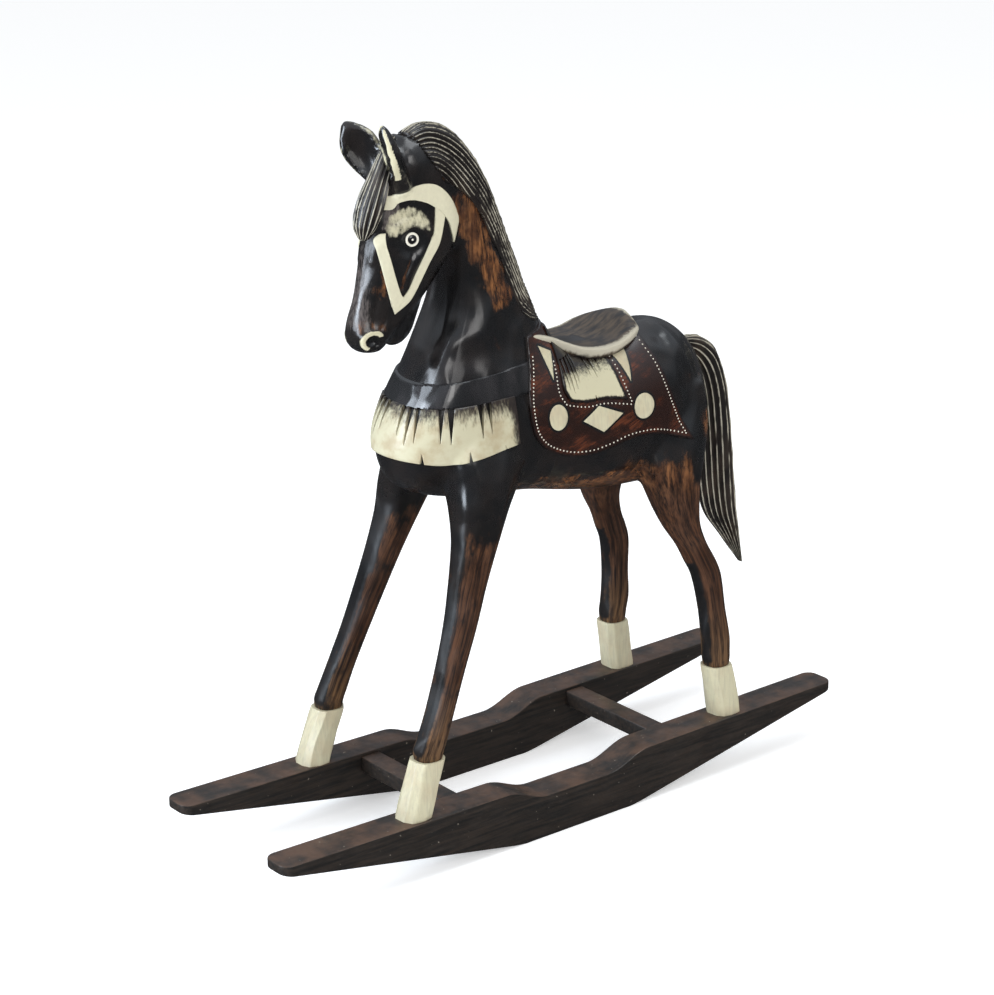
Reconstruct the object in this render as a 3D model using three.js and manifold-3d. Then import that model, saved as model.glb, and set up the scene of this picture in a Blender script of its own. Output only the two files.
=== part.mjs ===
// A carved and painted wooden rocking horse, standing on two bowed rockers that two crossbars join.
// Millimetres: +X forward to the head, +Y to the horse's left, +Z up, the floor at z = 0 between the rockers.
import * as THREE from 'three';
import { mergeVertices } from 'three/addons/utils/BufferGeometryUtils.js';
import Module from 'manifold-3d';

const wasm = await Module();
wasm.setup();

// Driving dimensions of the rockers and crossbars
const rockerLength = 912;
const rockerSpread = 264;
const rockerThickness = 47;
const rockerHeight = 76;
const tipRise = 4;
const tipThickness = 12;
const tipRounding = 15;
const flatLength = 190;
const shoulderSpacing = 240;
const waistLength = 100;
const waistDepth = 19;
const barSpacing = 346;
const barWidth = 29;
const barHeight = 21;
const barDrop = 3;
const keelReach = 50;
const keelRise = 10;

// Driving dimensions of the horse: its height from sole to ear tips, and the depths of its carving
const horseHeight = 846;
const legSeamHeight = 360;
const jointGap = 0.3;
const clothRelief = 3.5;
const flapRelief = 5.5;
const bandRelief = 2.5;
const fringeRelief = 4.5;
const bridleRelief = 2.2;
const maneRelief = 5;
const fluteDepth = 4;
const tailFluteDepth = 3;
const cutWidth = 6;
const cutPoint = 0.4;
const finestDetail = 0.01;

// The horse's own outlines are drawn at this height from sole to ear tips, and scaled to horseHeight.
const drawnHeight = 846;
const drawnFootSpread = 217;
const figure = horseHeight / drawnHeight;

// Rings of the trunk and neck, each across the horse from a back point to a belly point:
// back x, back z, belly x, belly z, half width, narrowing towards the back.
const trunkRings = [
  [-304, 430, -304, 398, 16, 0.1],
  [-298, 467, -298, 364, 32, 0.18],
  [-282, 495, -287, 340, 48, 0.2],
  [-256, 518, -262, 322, 63, 0.18],
  [-225, 531, -226, 316, 76, 0.12],
  [-180, 532, -178, 318, 83, 0.05],
  [-135, 524, -132, 321, 86, 0],
  [-90, 518, -88, 327, 87, 0],
  [-50, 529, -45, 336, 87, 0.04],
  [-30, 548, 10, 348, 86, 0.1],
  [-26, 560, 70, 355, 84, 0.16],
  [-22, 570, 130, 364, 80, 0.2],
  [-18, 582, 183, 385, 75, 0.22],
  [-12, 598, 201, 428, 67, 0.22],
  [-4, 616, 191, 468, 59, 0.22],
  [5, 641, 168, 507, 52, 0.22],
  [17, 670, 146, 547, 46, 0.24],
  [33, 709, 123, 590, 41, 0.26],
  [49, 746, 112, 632, 37, 0.28],
  [72, 783, 110, 672, 34, 0.3],
  [104, 815, 112, 712, 31, 0.3],
  [142, 826, 132, 745, 29, 0.25],
  [172, 814, 165, 760, 26, 0],
];
// Rings of the head, from the poll down to the lips: forehead x, z, jaw x, z, half width, narrowing.
const headRings = [
  [180, 822, 132, 800, 20, 0.1],
  [196, 800, 114, 776, 30, 0.1],
  [211, 754, 101, 726, 35, 0.18],
  [227, 707, 106, 685, 38, 0.28],
  [235, 664, 135, 645, 33, 0.32],
  [242, 630, 164, 612, 28, 0.25],
  [250, 606, 188, 592, 25, 0.12],
  [252, 588, 200, 577, 24, 0],
  [247, 572, 212, 566, 19, 0],
  [238, 565, 222, 564, 10, 0],
];
// The lower jaw, hanging behind the muzzle.
const jawRings = [
  [196, 630, 136, 650, 18, 0],
  [200, 612, 150, 616, 20, 0],
  [206, 596, 158, 598, 20, 0],
  [207, 582, 164, 583, 18, 0],
  [202, 571, 174, 572, 13, 0],
  [194, 566, 184, 566, 6, 0],
];
const forelockRings = [
  [186, 822, 176, 802, 8, 0],
  [200, 802, 184, 780, 12, 0],
  [214, 776, 194, 764, 17, 0],
  [230, 746, 204, 738, 21, 0],
  [238, 720, 214, 718, 18, 0],
  [236, 706, 220, 708, 10, 0],
  [232, 700, 225, 702, 4, 0],
];
const seatRings = [
  [0, 560, 0, 536, 24, 0],
  [-12, 563, -12, 532, 29, 0],
  [-30, 563, -30, 526, 32, 0],
  [-52, 553, -52, 514, 38, 0],
  [-75, 541, -75, 504, 47, 0],
  [-100, 532, -100, 499, 54, 0],
  [-126, 532, -126, 499, 57, 0],
  [-152, 540, -152, 504, 55, 0],
  [-172, 548, -172, 513, 47, 0],
  [-184, 549, -184, 522, 36, 0],
  [-190, 547, -190, 532, 22, 0],
];
const tailRings = [
  [-286, 494, -280, 472, 12, 0],
  [-312, 491, -290, 456, 18, 0],
  [-337, 472, -298, 434, 22, 0],
  [-354, 434, -304, 407, 24, 0],
  [-364, 389, -309, 371, 24, 0],
  [-372, 335, -315, 322, 23, 0],
  [-379, 285, -321, 277, 21, 0],
  [-386, 238, -333, 237, 18, 0],
  [-394, 196, -361, 200, 12, 0],
  [-403, 151, -398, 153, 3, 0],
];
// Level rings of a leg from its top to its sole: centre x, centre y, z, half length, half width.
const legRings = {
  front: [
    [88, 42, 456, 58, 36],
    [94, 55, 420, 59, 37],
    [106, 66, 383, 48, 32],
    [115, 73, 360, 40, 28],
    [126, 79, 323, 30.5, 25],
    [144, 86, 273, 24, 21.5],
    [162, 93, 223, 20.5, 19.5],
    [182, 98, 173, 18, 18],
    [203, 103, 123, 17.5, 17.5],
    [218, 105, 88, 18.5, 18],
    [222, 105, 80, 18.5, 18],
    [225, 105, 76, 24, 22.5],
    [236, 107, 38, 25, 23.5],
    [249, 108.5, -5, 25.5, 24],
  ],
  hind: [
    [-226, 37, 450, 52, 30],
    [-218, 49, 405, 58, 34],
    [-206, 62, 360, 54, 33],
    [-206, 70, 323, 40, 29],
    [-209, 75, 295, 32, 26],
    [-215, 80, 268, 25, 22],
    [-228, 85, 241, 20, 20],
    [-240, 89, 217, 21, 19],
    [-250, 92, 193, 19.5, 18.5],
    [-256, 97, 148, 17.5, 17.5],
    [-260, 101, 109, 19, 18],
    [-259, 104, 86, 18, 18],
    [-259, 104.5, 80, 18, 18],
    [-261, 105, 76, 22, 21],
    [-266, 107, 38, 22.5, 22],
    [-273, 108.5, -5, 23, 22.5],
  ],
};
// Level rings of an ear about its own root, from root to tip, and of the hollow in its front.
const earRings = [
  [0, 0, -20, 11, 14],
  [0, 0, 0, 12, 17],
  [0, 0, 18, 12, 22],
  [0, 0, 38, 11, 24],
  [0, 0, 54, 8, 18],
  [0, 0, 65, 6, 10],
  [0, 0, 71, 3, 4],
];
const earHollowRings = [
  [13, 0, -10, 3, 4],
  [12, 0, 4, 8, 12],
  [12, 0, 20, 9, 17],
  [12, 0, 40, 9, 18],
  [11, 0, 56, 5, 9],
];
// Where each ear stands, and how it is turned to the horse's left, leant forward and splayed out, in degrees.
const earPoses = {
  left: { root: [194, 24, 776], turn: -22, lean: 24, splay: 8 },
  right: { root: [187, 29, 772], turn: 40, lean: 18, splay: 30 },
};

// Side outlines, as x and z: the mane, the saddle cloth, its flap, the breast band, its fringe, the bridle.
const maneOutline = [
  [172, 840], [167, 822], [150, 792], [131, 765], [106, 747], [88, 731], [74, 700],
  [60, 675], [46, 652], [38, 626], [26, 600], [12, 580], [-12, 568],
  [-50, 572], [-20, 690], [30, 790], [85, 850],
];
const clothOutline = [
  [24, 548], [30, 523], [41, 484], [40, 449], [28, 428], [8, 414], [-21, 403], [-54, 399], [-85, 402],
  [-113, 407], [-145, 407], [-173, 402], [-224, 386], [-197, 443], [-180, 495], [-172, 530],
  [-172, 640], [24, 640],
];
const flapOutline = [
  [-20, 560], [-16, 520], [-13, 491], [-20, 474], [-47, 468], [-80, 466], [-114, 459], [-108, 489],
  [-106, 560],
];
const bandOutline = [
  [250, 512], [180, 512], [157, 518], [120, 522], [74, 525], [26, 530], [26, 494], [124, 492],
  [187, 490], [250, 489],
];
const fringeOutline = [
  [250, 490], [187, 491], [124, 493], [58, 495], [56, 432], [90, 429], [124, 424], [161, 418],
  [198, 423], [250, 430],
];
const browbandOutline = [
  [238, 762], [206, 757], [199, 760], [183, 764], [158, 765], [141, 761], [124, 748], [114, 732], [109, 712],
  [120, 688], [129, 706], [136, 720], [149, 732], [162, 742], [182, 746], [198, 744], [210, 739], [238, 744],
];
const cheekStrapOutline = [
  [150, 742], [152, 714], [158, 697], [178, 663], [190, 641], [197, 634], [202, 611], [185, 622],
  [180, 628], [163, 660], [147, 685], [138, 720], [138, 734],
];
const noseStrapOutline = [
  [228, 704], [216, 712], [212, 703], [208, 681], [199, 652], [195, 632], [202, 611], [213, 635],
  [220, 667], [226, 688],
];
// Where the fringe is cut from above, and its hem nicked from below: degrees round the chest from ahead.
const chestAxis = 100;
const fringeCuts = { angles: [10, 18, 37, 46, 85, 97], top: 500, point: 455 };
const hemNicks = { angles: [28, 64, 108], point: 433, hem: 412 };
// Where the flap is cut from above: x of each cut, and the levels of its top and its point.
const flapCuts = { places: [-32, -42, -58, -70, -84, -98], top: 530, point: 492 };
// Centres and radii of the eyeball and of the hollow of the nostril.
const eyeball = { centre: [184, 33.5, 701], radii: [8, 6, 7] };
const nostril = { centre: [238, 25, 582], radii: [6, 6, 4] };
// The first ring of the neck that carries the mane, and the first that carries the bridle.
const maneStart = 9;
const bridleStart = 16;

const rounded = (value, square) => Math.sign(value) * Math.abs(value) ** (2 / square);

// Joins rings of as many points into one closed skin, with a fan over each end.
function skin(rings) {
  const sides = rings[0].length;
  const points = rings.flat();
  const middle = (ring) => ring.reduce((sum, p) => sum.add(p), new THREE.Vector3()).divideScalar(sides);
  const first = points.push(middle(rings[0])) - 1;
  const last = points.push(middle(rings.at(-1))) - 1;
  const end = (rings.length - 1) * sides;
  const faces = [];
  for (let i = 0; i < sides; i++) {
    const next = (i + 1) % sides;
    for (let r = 0; r < end; r += sides) {
      faces.push(r + i, r + next, r + i + sides, r + next, r + next + sides, r + i + sides);
    }
    faces.push(first, next, i, last, end + i, end + next);
  }
  const geometry = new THREE.BufferGeometry().setFromPoints(points);
  geometry.setIndex(faces);
  return geometry;
}

// Makes a closed mesh a solid, turning its faces outward where they point in.
function solid(geometry) {
  const bare = geometry.index ? geometry.toNonIndexed() : geometry.clone();
  bare.deleteAttribute('normal');
  bare.deleteAttribute('uv');
  const merged = mergeVertices(bare, 1e-3);
  const corners = merged.index.array;
  const made = () => new wasm.Manifold(new wasm.Mesh({
    numProp: 3,
    vertProperties: merged.attributes.position.array,
    triVerts: new Uint32Array(corners),
  }));
  if (made().volume() > 0) {
    return made();
  }
  for (let i = 0; i < corners.length; i += 3) {
    [corners[i], corners[i + 1]] = [corners[i + 1], corners[i]];
  }
  return made();
}

// A skin over rings that each lie across the horse, widened by grow, with flutes cut in lengthwise.
function crossLoft(rows, { sides = 24, square = 2.2, grow = 0, flute = 0 } = {}) {
  const rings = rows.map(([backX, backZ, bellyX, bellyZ, halfWidth, narrowing]) => {
    const back = new THREE.Vector3(backX, 0, backZ).multiplyScalar(figure);
    const belly = new THREE.Vector3(bellyX, 0, bellyZ).multiplyScalar(figure);
    const centre = back.clone().add(belly).divideScalar(2);
    const rise = back.clone().sub(centre);
    const halfHeight = rise.length() + grow;
    rise.normalize();
    const ring = [];
    for (let i = 0; i < sides; i++) {
      const angle = (i / sides) * 2 * Math.PI;
      const up = rounded(Math.cos(angle), square);
      const across = rounded(Math.sin(angle), square) * (1 - narrowing * up);
      const sunk = i % 2 ? Math.min(flute, halfWidth * figure / 3) : 0;
      const point = centre.clone().addScaledVector(rise, up * (halfHeight - sunk));
      point.y = across * (halfWidth * figure + grow - sunk);
      ring.push(point);
    }
    return ring;
  });
  return solid(skin(rings));
}

// A skin over level rings on one side of the horse. Feet drawn at one spread stand at another by leaning.
function levelLoft(rows, side, { sides = 12, square = 2.5, footShift = 0 } = {}) {
  const rings = rows.map(([x, y, z, halfLength, halfWidth]) => {
    const lean = footShift * (1 - z / rows[0][2]);
    const ring = [];
    for (let i = 0; i < sides; i++) {
      const angle = ((i + 0.5) / sides) * 2 * Math.PI;
      ring.push(new THREE.Vector3(
        (x + halfLength * rounded(Math.cos(angle), square)) * figure,
        side * ((y + halfWidth * rounded(Math.sin(angle), square)) * figure + lean),
        z * figure,
      ));
    }
    return ring;
  });
  return solid(skin(rings));
}

// A side outline, drawn in x and z, carried through the horse from one y to another.
function sideBlock(outline, fromY, toY, scale = figure) {
  const shape = new THREE.Shape(outline.map(([x, z]) => new THREE.Vector2(x * scale, z * scale)));
  const geometry = new THREE.ExtrudeGeometry(shape, { depth: toY - fromY, bevelEnabled: false });
  geometry.rotateX(Math.PI / 2);
  geometry.translate(0, toY, 0);
  return solid(geometry);
}

// The same solid turned to the left, leant forward, tipped to the left, and moved.
function placed(made, [x, y, z], { turn = 0, lean = 0, tip = 0 } = {}) {
  const geometry = geometryOf(made);
  geometry.rotateZ(THREE.MathUtils.degToRad(turn));
  geometry.rotateY(THREE.MathUtils.degToRad(lean));
  geometry.rotateX(-THREE.MathUtils.degToRad(tip));
  geometry.translate(x, y, z);
  return solid(geometry);
}

function block(low, high) {
  const size = new THREE.Vector3().subVectors(high, low);
  const geometry = new THREE.BoxGeometry(size.x, size.y, size.z);
  const middle = new THREE.Vector3().addVectors(low, high).divideScalar(2);
  geometry.translate(middle.x, middle.y, middle.z);
  return solid(geometry);
}

// A wedge for cutting the fringe: a triangle standing round the chest axis, carried outward from it.
function chestWedge(angle, topZ, bottomZ, topHalf, bottomHalf) {
  const shape = new THREE.Shape([
    new THREE.Vector2(-topHalf, topZ), new THREE.Vector2(topHalf, topZ),
    new THREE.Vector2(bottomHalf, bottomZ), new THREE.Vector2(-bottomHalf, bottomZ),
  ].map((p) => p.multiplyScalar(figure)));
  const geometry = new THREE.ExtrudeGeometry(shape, { depth: farOut, bevelEnabled: false });
  geometry.rotateX(Math.PI / 2);
  geometry.rotateZ(Math.PI / 2 + THREE.MathUtils.degToRad(angle));
  geometry.translate(chestAxis * figure, 0, 0);
  return solid(geometry);
}

function ellipsoid({ centre: [x, y, z], radii: [radiusX, radiusY, radiusZ] }, side) {
  const geometry = new THREE.SphereGeometry(1, 8, 6);
  geometry.scale(radiusX * figure, radiusY * figure, radiusZ * figure);
  geometry.translate(x * figure, side * y * figure, z * figure);
  return solid(geometry);
}

const sides = { left: 1, right: -1 };
const farOut = 400 * figure;

function carvedHead() {
  let head = crossLoft(headRings, { sides: 18, square: 2.35 });
  head = head.add(crossLoft(jawRings, { sides: 14 }));
  head = head.add(crossLoft(forelockRings, { sides: 20, flute: fluteDepth / 2 }));
  const tack = crossLoft(headRings, { sides: 18, square: 2.35, grow: bridleRelief })
    .add(crossLoft(trunkRings.slice(bridleStart), { grow: bridleRelief }));
  const ear = levelLoft(earRings, 1).subtract(levelLoft(earHollowRings, 1));
  for (const [name, side] of Object.entries(sides)) {
    const span = side > 0 ? [0, farOut] : [-farOut, 0];
    for (const outline of [browbandOutline, cheekStrapOutline, noseStrapOutline]) {
      head = head.add(tack.intersect(sideBlock(outline, ...span)));
    }
    const { root: [x, y, z], turn, lean, splay } = earPoses[name];
    const root = [x * figure, side * y * figure, z * figure];
    head = head.add(placed(ear, root, { turn, lean, tip: side * splay }));
    head = head.subtract(ellipsoid(nostril, side)).add(ellipsoid(eyeball, side));
  }
  return head;
}

// The trunk grown a little all round, kept only inside a side outline.
function raised(outline, grow) {
  return crossLoft(trunkRings, { grow }).intersect(sideBlock(outline, -farOut, farOut));
}

function carvedSaddle() {
  const { places, top, point } = flapCuts;
  let flap = raised(flapOutline, flapRelief);
  for (const x of places) {
    const outline = [[x - cutWidth / 2, top], [x + cutWidth / 2, top], [x - cutWidth / 2, point]];
    flap = flap.subtract(sideBlock(outline, -farOut, farOut));
  }
  return crossLoft(seatRings, { square: 2.4 }).add(raised(clothOutline, clothRelief)).add(flap);
}

function carvedBreastBand() {
  let fringe = raised(fringeOutline, fringeRelief);
  for (const side of Object.values(sides)) {
    for (const angle of fringeCuts.angles) {
      const { top, point } = fringeCuts;
      fringe = fringe.subtract(chestWedge(side * angle, top, point, cutWidth / 2, cutPoint));
    }
    for (const angle of hemNicks.angles) {
      const { point, hem } = hemNicks;
      fringe = fringe.subtract(chestWedge(side * angle, point, hem, cutPoint, cutWidth));
    }
  }
  return raised(bandOutline, bandRelief).add(fringe);
}

function carvedMane() {
  const neck = trunkRings.slice(maneStart);
  const fluted = crossLoft(neck, { sides: 44, grow: maneRelief, flute: fluteDepth, square: 2 });
  return fluted.intersect(sideBlock(maneOutline, -farOut, farOut));
}

// The solid's own faces. Corners closer than the finest detail are merged, and faces this flattens left out.
function geometryOf(made) {
  const mesh = made.getMesh();
  const loose = new THREE.BufferGeometry();
  loose.setAttribute('position', new THREE.BufferAttribute(new Float32Array(mesh.vertProperties), 3));
  loose.setIndex(new THREE.BufferAttribute(new Uint32Array(mesh.triVerts), 1));
  const geometry = mergeVertices(loose, finestDetail);
  const corners = geometry.index.array;
  const faces = new Map();
  for (let i = 0; i < corners.length; i += 3) {
    const face = [...corners.subarray(i, i + 3)];
    const key = face.toSorted((a, b) => a - b).join();
    const flattened = new Set(face).size < 3 || faces.has(key);
    if (flattened) {
      faces.delete(key);
    } else {
      faces.set(key, face);
    }
  }
  geometry.setIndex([...faces.values()].flat());
  geometry.computeVertexNormals();
  return geometry;
}

const finishes = {
  lacquer: { color: 0x1d1613, roughness: 0.28, metalness: 0 },
  legWood: { color: 0x3d2013, roughness: 0.4, metalness: 0 },
  rockerWood: { color: 0x2a1d17, roughness: 0.5, metalness: 0 },
};

function addPiece(group, name, made, finish) {
  const piece = new THREE.Mesh(geometryOf(made), new THREE.MeshStandardMaterial(finishes[finish]));
  piece.name = name;
  group.add(piece);
  return piece;
}

// The top of a rocker: level from each tip in to a shoulder, then dipping to the waist between them.
function rockerOutline() {
  const halfLength = rockerLength / 2;
  const halfFlat = flatLength / 2;
  const shoulder = shoulderSpacing / 2;
  const half = [[halfFlat, 0], [halfFlat + keelReach, keelRise],
    [halfLength, rockerHeight + tipRise - tipThickness], [halfLength, rockerHeight + tipRise],
    [shoulder, rockerHeight]];
  const steps = 5;
  for (let i = 1; i <= steps; i++) {
    const t = i / steps;
    const x = THREE.MathUtils.lerp(shoulder, waistLength / 2, t);
    half.push([x, rockerHeight - waistDepth * (1 - Math.cos(Math.PI * t)) / 2]);
  }
  return [...half, ...half.toReversed().map(([x, z]) => [-x, z])];
}

function rockerBoard() {
  return sideBlock(rockerOutline(), -rockerThickness / 2, rockerThickness / 2, 1)
    .intersect(roundedBoard(rockerLength, rockerThickness, tipRounding));
}

// A board seen from above, with rounded corners, taller than the rocker.
function roundedBoard(length, width, radius) {
  const x = length / 2 - radius;
  const y = width / 2 - radius;
  const shape = new THREE.Shape();
  shape.absarc(x, y, radius, 0, Math.PI / 2);
  shape.absarc(-x, y, radius, Math.PI / 2, Math.PI);
  shape.absarc(-x, -y, radius, Math.PI, Math.PI * 1.5);
  shape.absarc(x, -y, radius, Math.PI * 1.5, Math.PI * 2);
  const depth = 4 * rockerHeight;
  const geometry = new THREE.ExtrudeGeometry(shape, { depth, curveSegments: 4, bevelEnabled: false });
  geometry.translate(0, 0, -rockerHeight);
  return solid(geometry);
}

const horse = new THREE.Group();
const footPlace = legRings.front.at(-1)[0] * figure;
const footRise = tipRise * (footPlace - shoulderSpacing / 2) / ((rockerLength - shoulderSpacing) / 2);
const footLevel = rockerHeight + footRise + jointGap;
horse.position.z = footLevel;
const rockerCentre = (rockerSpread - rockerThickness) / 2;
const board = rockerBoard();
// The rocker's shape made wider than the foot, to cut the whole sole to the rocker's top.
const soleCut = sideBlock(rockerOutline(), -rockerThickness, rockerThickness, 1);

let body = crossLoft(trunkRings);
for (const carved of [carvedHead(), carvedMane(), carvedBreastBand(), carvedSaddle()]) {
  body = body.add(carved);
}
const seam = legSeamHeight * figure;
const corner = (x, y, z) => new THREE.Vector3(x, y, z);
const roomAbove = block(corner(-farOut, -farOut, seam), corner(farOut, farOut, 3 * farOut));
const roomBelow = block(corner(-farOut, -farOut, -farOut), corner(farOut, farOut, seam - jointGap));
const legs = {};
for (const [pair, rings] of Object.entries(legRings)) {
  for (const [name, side] of Object.entries(sides)) {
    const leg = levelLoft(rings, side, { footShift: rockerCentre - (drawnFootSpread / 2) * figure });
    body = body.add(leg.intersect(roomAbove));
    legs[`${pair}_${name}_leg`] = { side, leg: leg.intersect(roomBelow) };
  }
}
// The body with a little more all round, which leaves the joint gap when it is cut from a leg or the tail.
function cleared(piece) {
  const shifts = [[0, 0, 0], [jointGap, 0, 0], [-jointGap, 0, 0], [0, jointGap, 0], [0, -jointGap, 0],
    [0, 0, jointGap], [0, 0, -jointGap]];
  return shifts.reduce((rest, shift) => rest.subtract(placed(body, shift)), piece);
}
for (const [name, { side, leg }] of Object.entries(legs)) {
  const rockerBelow = placed(soleCut, [0, side * rockerCentre, jointGap - footLevel]);
  addPiece(horse, name, cleared(leg).subtract(rockerBelow), 'legWood');
}
addPiece(horse, 'horse_body', body, 'lacquer');
addPiece(horse, 'tail', cleared(crossLoft(tailRings, { sides: 20, flute: tailFluteDepth })), 'lacquer');

const rockingHorse = new THREE.Group();
rockingHorse.add(horse);
for (const [name, side] of Object.entries(sides)) {
  addPiece(rockingHorse, `${name}_rocker`, board, 'rockerWood').position.y = side * rockerCentre;
}
for (const [name, end] of [['front', 1], ['rear', -1]]) {
  const reach = rockerSpread / 2 - rockerThickness - jointGap;
  const low = corner(-barWidth / 2, -reach, rockerHeight - barDrop - barHeight);
  const high = corner(barWidth / 2, reach, rockerHeight - barDrop);
  const bar = addPiece(rockingHorse, `${name}_crossbar`, block(low, high), 'rockerWood');
  bar.position.x = end * barSpacing / 2;
}

export default rockingHorse;
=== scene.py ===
"""Looks of the carved and painted wooden rocking horse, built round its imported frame. Row frame, metres."""
import math

import bmesh
import bpy
import numpy as np
from mathutils import Matrix, Vector
from mathutils.bvhtree import BVHTree


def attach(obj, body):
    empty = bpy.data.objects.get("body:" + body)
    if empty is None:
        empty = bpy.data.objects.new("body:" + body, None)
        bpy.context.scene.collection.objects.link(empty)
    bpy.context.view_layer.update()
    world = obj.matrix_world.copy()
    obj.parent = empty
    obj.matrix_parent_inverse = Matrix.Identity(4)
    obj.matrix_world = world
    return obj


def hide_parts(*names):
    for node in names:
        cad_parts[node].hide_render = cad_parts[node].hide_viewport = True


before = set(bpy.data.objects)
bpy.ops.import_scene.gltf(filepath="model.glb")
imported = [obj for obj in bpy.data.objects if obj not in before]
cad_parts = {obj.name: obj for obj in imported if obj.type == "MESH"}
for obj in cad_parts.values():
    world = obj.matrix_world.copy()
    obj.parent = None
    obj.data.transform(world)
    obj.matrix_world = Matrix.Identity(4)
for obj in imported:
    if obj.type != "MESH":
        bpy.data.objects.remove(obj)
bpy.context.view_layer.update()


# Millimetres in metres, the height in millimetres of the soles, from which the horse's own heights are measured, the
# size of the remeshed faces in metres, and a distance in millimetres beyond the horse's sides.
MM = 0.001
FOOT_LEVEL = 77.836
VOXEL = 0.0036
BEYOND = 400
# How far the pieces stand up from the body, in millimetres.
RELIEF = {"cloth": 3.5, "flap": 5.5, "shapes": 3.9, "band": 2.5, "fringe": 4.5, "browband": 1.9, "cheek_strap": 1.7,
          "nose_strap": 1.6}
# The x ahead of which the head's sides are face, and the x ahead of which legs are front legs.
FACE_START = 145
FRONT_LEGS_START = -40
SIDES = {"left": 1, "right": -1}

# Rings across the horse: back x, back z, belly x, belly z, half width, narrowing towards the back.
TRUNK = [
    [-304, 430, -304, 398, 16, 0.1], [-298, 467, -298, 364, 32, 0.18], [-282, 495, -287, 340, 48, 0.2],
    [-256, 518, -262, 322, 63, 0.18], [-225, 531, -226, 316, 76, 0.12], [-180, 532, -178, 318, 83, 0.05],
    [-135, 524, -132, 321, 86, 0], [-90, 518, -88, 327, 87, 0], [-50, 529, -45, 336, 87, 0.04],
    [-30, 548, 10, 348, 86, 0.1], [-26, 560, 70, 355, 84, 0.16], [-22, 570, 130, 364, 80, 0.2],
    [-18, 582, 183, 385, 75, 0.22], [-12, 598, 201, 428, 67, 0.22], [-4, 616, 191, 468, 59, 0.22],
    [5, 641, 168, 507, 52, 0.22], [17, 670, 146, 547, 46, 0.24], [33, 709, 123, 590, 41, 0.26],
    [49, 746, 112, 632, 37, 0.28], [72, 783, 110, 672, 34, 0.3], [104, 815, 112, 712, 31, 0.3],
    [142, 826, 132, 745, 29, 0.25], [172, 814, 165, 760, 26, 0],
]
HEAD = [
    [180, 822, 132, 800, 20, 0.1], [196, 800, 114, 776, 30, 0.1], [211, 754, 101, 726, 35, 0.18],
    [227, 707, 106, 685, 38, 0.28], [235, 664, 135, 645, 33, 0.32], [242, 630, 164, 612, 28, 0.25],
    [250, 606, 188, 592, 25, 0.12], [252, 588, 200, 577, 24, 0], [247, 572, 212, 566, 19, 0],
    [238, 565, 222, 564, 10, 0],
]
JAW = [
    [196, 630, 136, 650, 18, 0], [200, 612, 150, 616, 20, 0], [206, 596, 158, 598, 20, 0],
    [207, 582, 164, 583, 18, 0], [202, 571, 174, 572, 13, 0], [194, 566, 184, 566, 6, 0],
]
FORELOCK = [
    [186, 822, 176, 802, 8, 0], [200, 802, 184, 780, 12, 0], [214, 776, 194, 764, 17, 0],
    [230, 746, 204, 738, 21, 0], [238, 720, 214, 718, 18, 0], [236, 706, 220, 708, 10, 0],
    [232, 700, 225, 702, 4, 0],
]
# Rings across the seat: x, z of the top, z of the base, half width, and how far its middle is hollowed.
SEAT = [
    [24, 559, 545, 46, 0], [15, 560, 541, 50, 0], [-2, 557, 534, 51, 2], [-24, 550, 522, 51, 4],
    [-46, 540, 509, 52, 5], [-69, 531, 500, 55, 5], [-94, 527, 497, 58, 4], [-120, 528, 498, 59, 3],
    [-142, 534, 503, 57, -1], [-160, 538, 510, 50, -8], [-172, 537, 518, 40, -13], [-178, 534, 524, 26, -15],
]
TAIL = [
    [-286, 494, -280, 472, 12, 0], [-312, 491, -290, 456, 18, 0], [-337, 472, -298, 434, 22, 0],
    [-354, 434, -304, 407, 24, 0], [-364, 389, -309, 371, 24, 0], [-372, 335, -315, 322, 23, 0],
    [-379, 285, -321, 277, 21, 0], [-386, 238, -333, 237, 18, 0], [-394, 196, -361, 200, 12, 0],
    [-403, 151, -398, 153, 3, 0],
]
# Level rings of a leg: centre x, centre y, z, half length, half width. The last three are its painted foot.
LEGS = {
    "front": [
        [88, 42, 456, 58, 36], [94, 55, 420, 59, 37], [106, 66, 383, 48, 32], [115, 73, 360, 40, 28],
        [126, 79, 323, 30.5, 25], [144, 86, 273, 24, 21.5], [162, 93, 223, 20.5, 19.5],
        [182, 98, 173, 18, 18], [203, 103, 123, 17.5, 17.5], [218, 105, 88, 18.5, 18], [222, 105, 80, 18.5, 18],
        [224, 105, 69, 21, 19.6], [236, 106.5, 36, 21.6, 20.2], [248, 107.5, -1.5, 22, 20.8],
    ],
    "hind": [
        [-226, 37, 450, 52, 30], [-218, 49, 405, 58, 34], [-206, 62, 360, 54, 33], [-206, 70, 323, 40, 29],
        [-209, 75, 295, 32, 26], [-215, 80, 268, 25, 22], [-228, 85, 241, 20, 20], [-240, 89, 217, 21, 19],
        [-250, 92, 193, 19.5, 18.5], [-256, 97, 148, 17.5, 17.5], [-260, 101, 109, 19, 18],
        [-259, 104, 86, 18, 18], [-259, 104.5, 80, 18, 18],
        [-260, 105, 69, 20, 19.2], [-266, 106.5, 36, 20.4, 19.8], [-272, 107.5, -1.5, 20.8, 20.2],
    ],
}
# Level rings of an ear about its own root, and of the hollow in its front.
EAR = [
    [0, 0, -20, 11, 14], [0, 0, 0, 12, 17], [0, 0, 18, 12, 22], [0, 0, 38, 11, 24], [0, 0, 54, 8, 18],
    [0, 0, 65, 5.5, 9], [0, 0, 71, 3, 4],
]
EAR_HOLLOW = [[13, 0, -10, 3, 4], [12, 0, 4, 8, 12], [12, 0, 20, 9, 17], [12, 0, 40, 9, 18], [11, 0, 56, 5, 9]]
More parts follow.
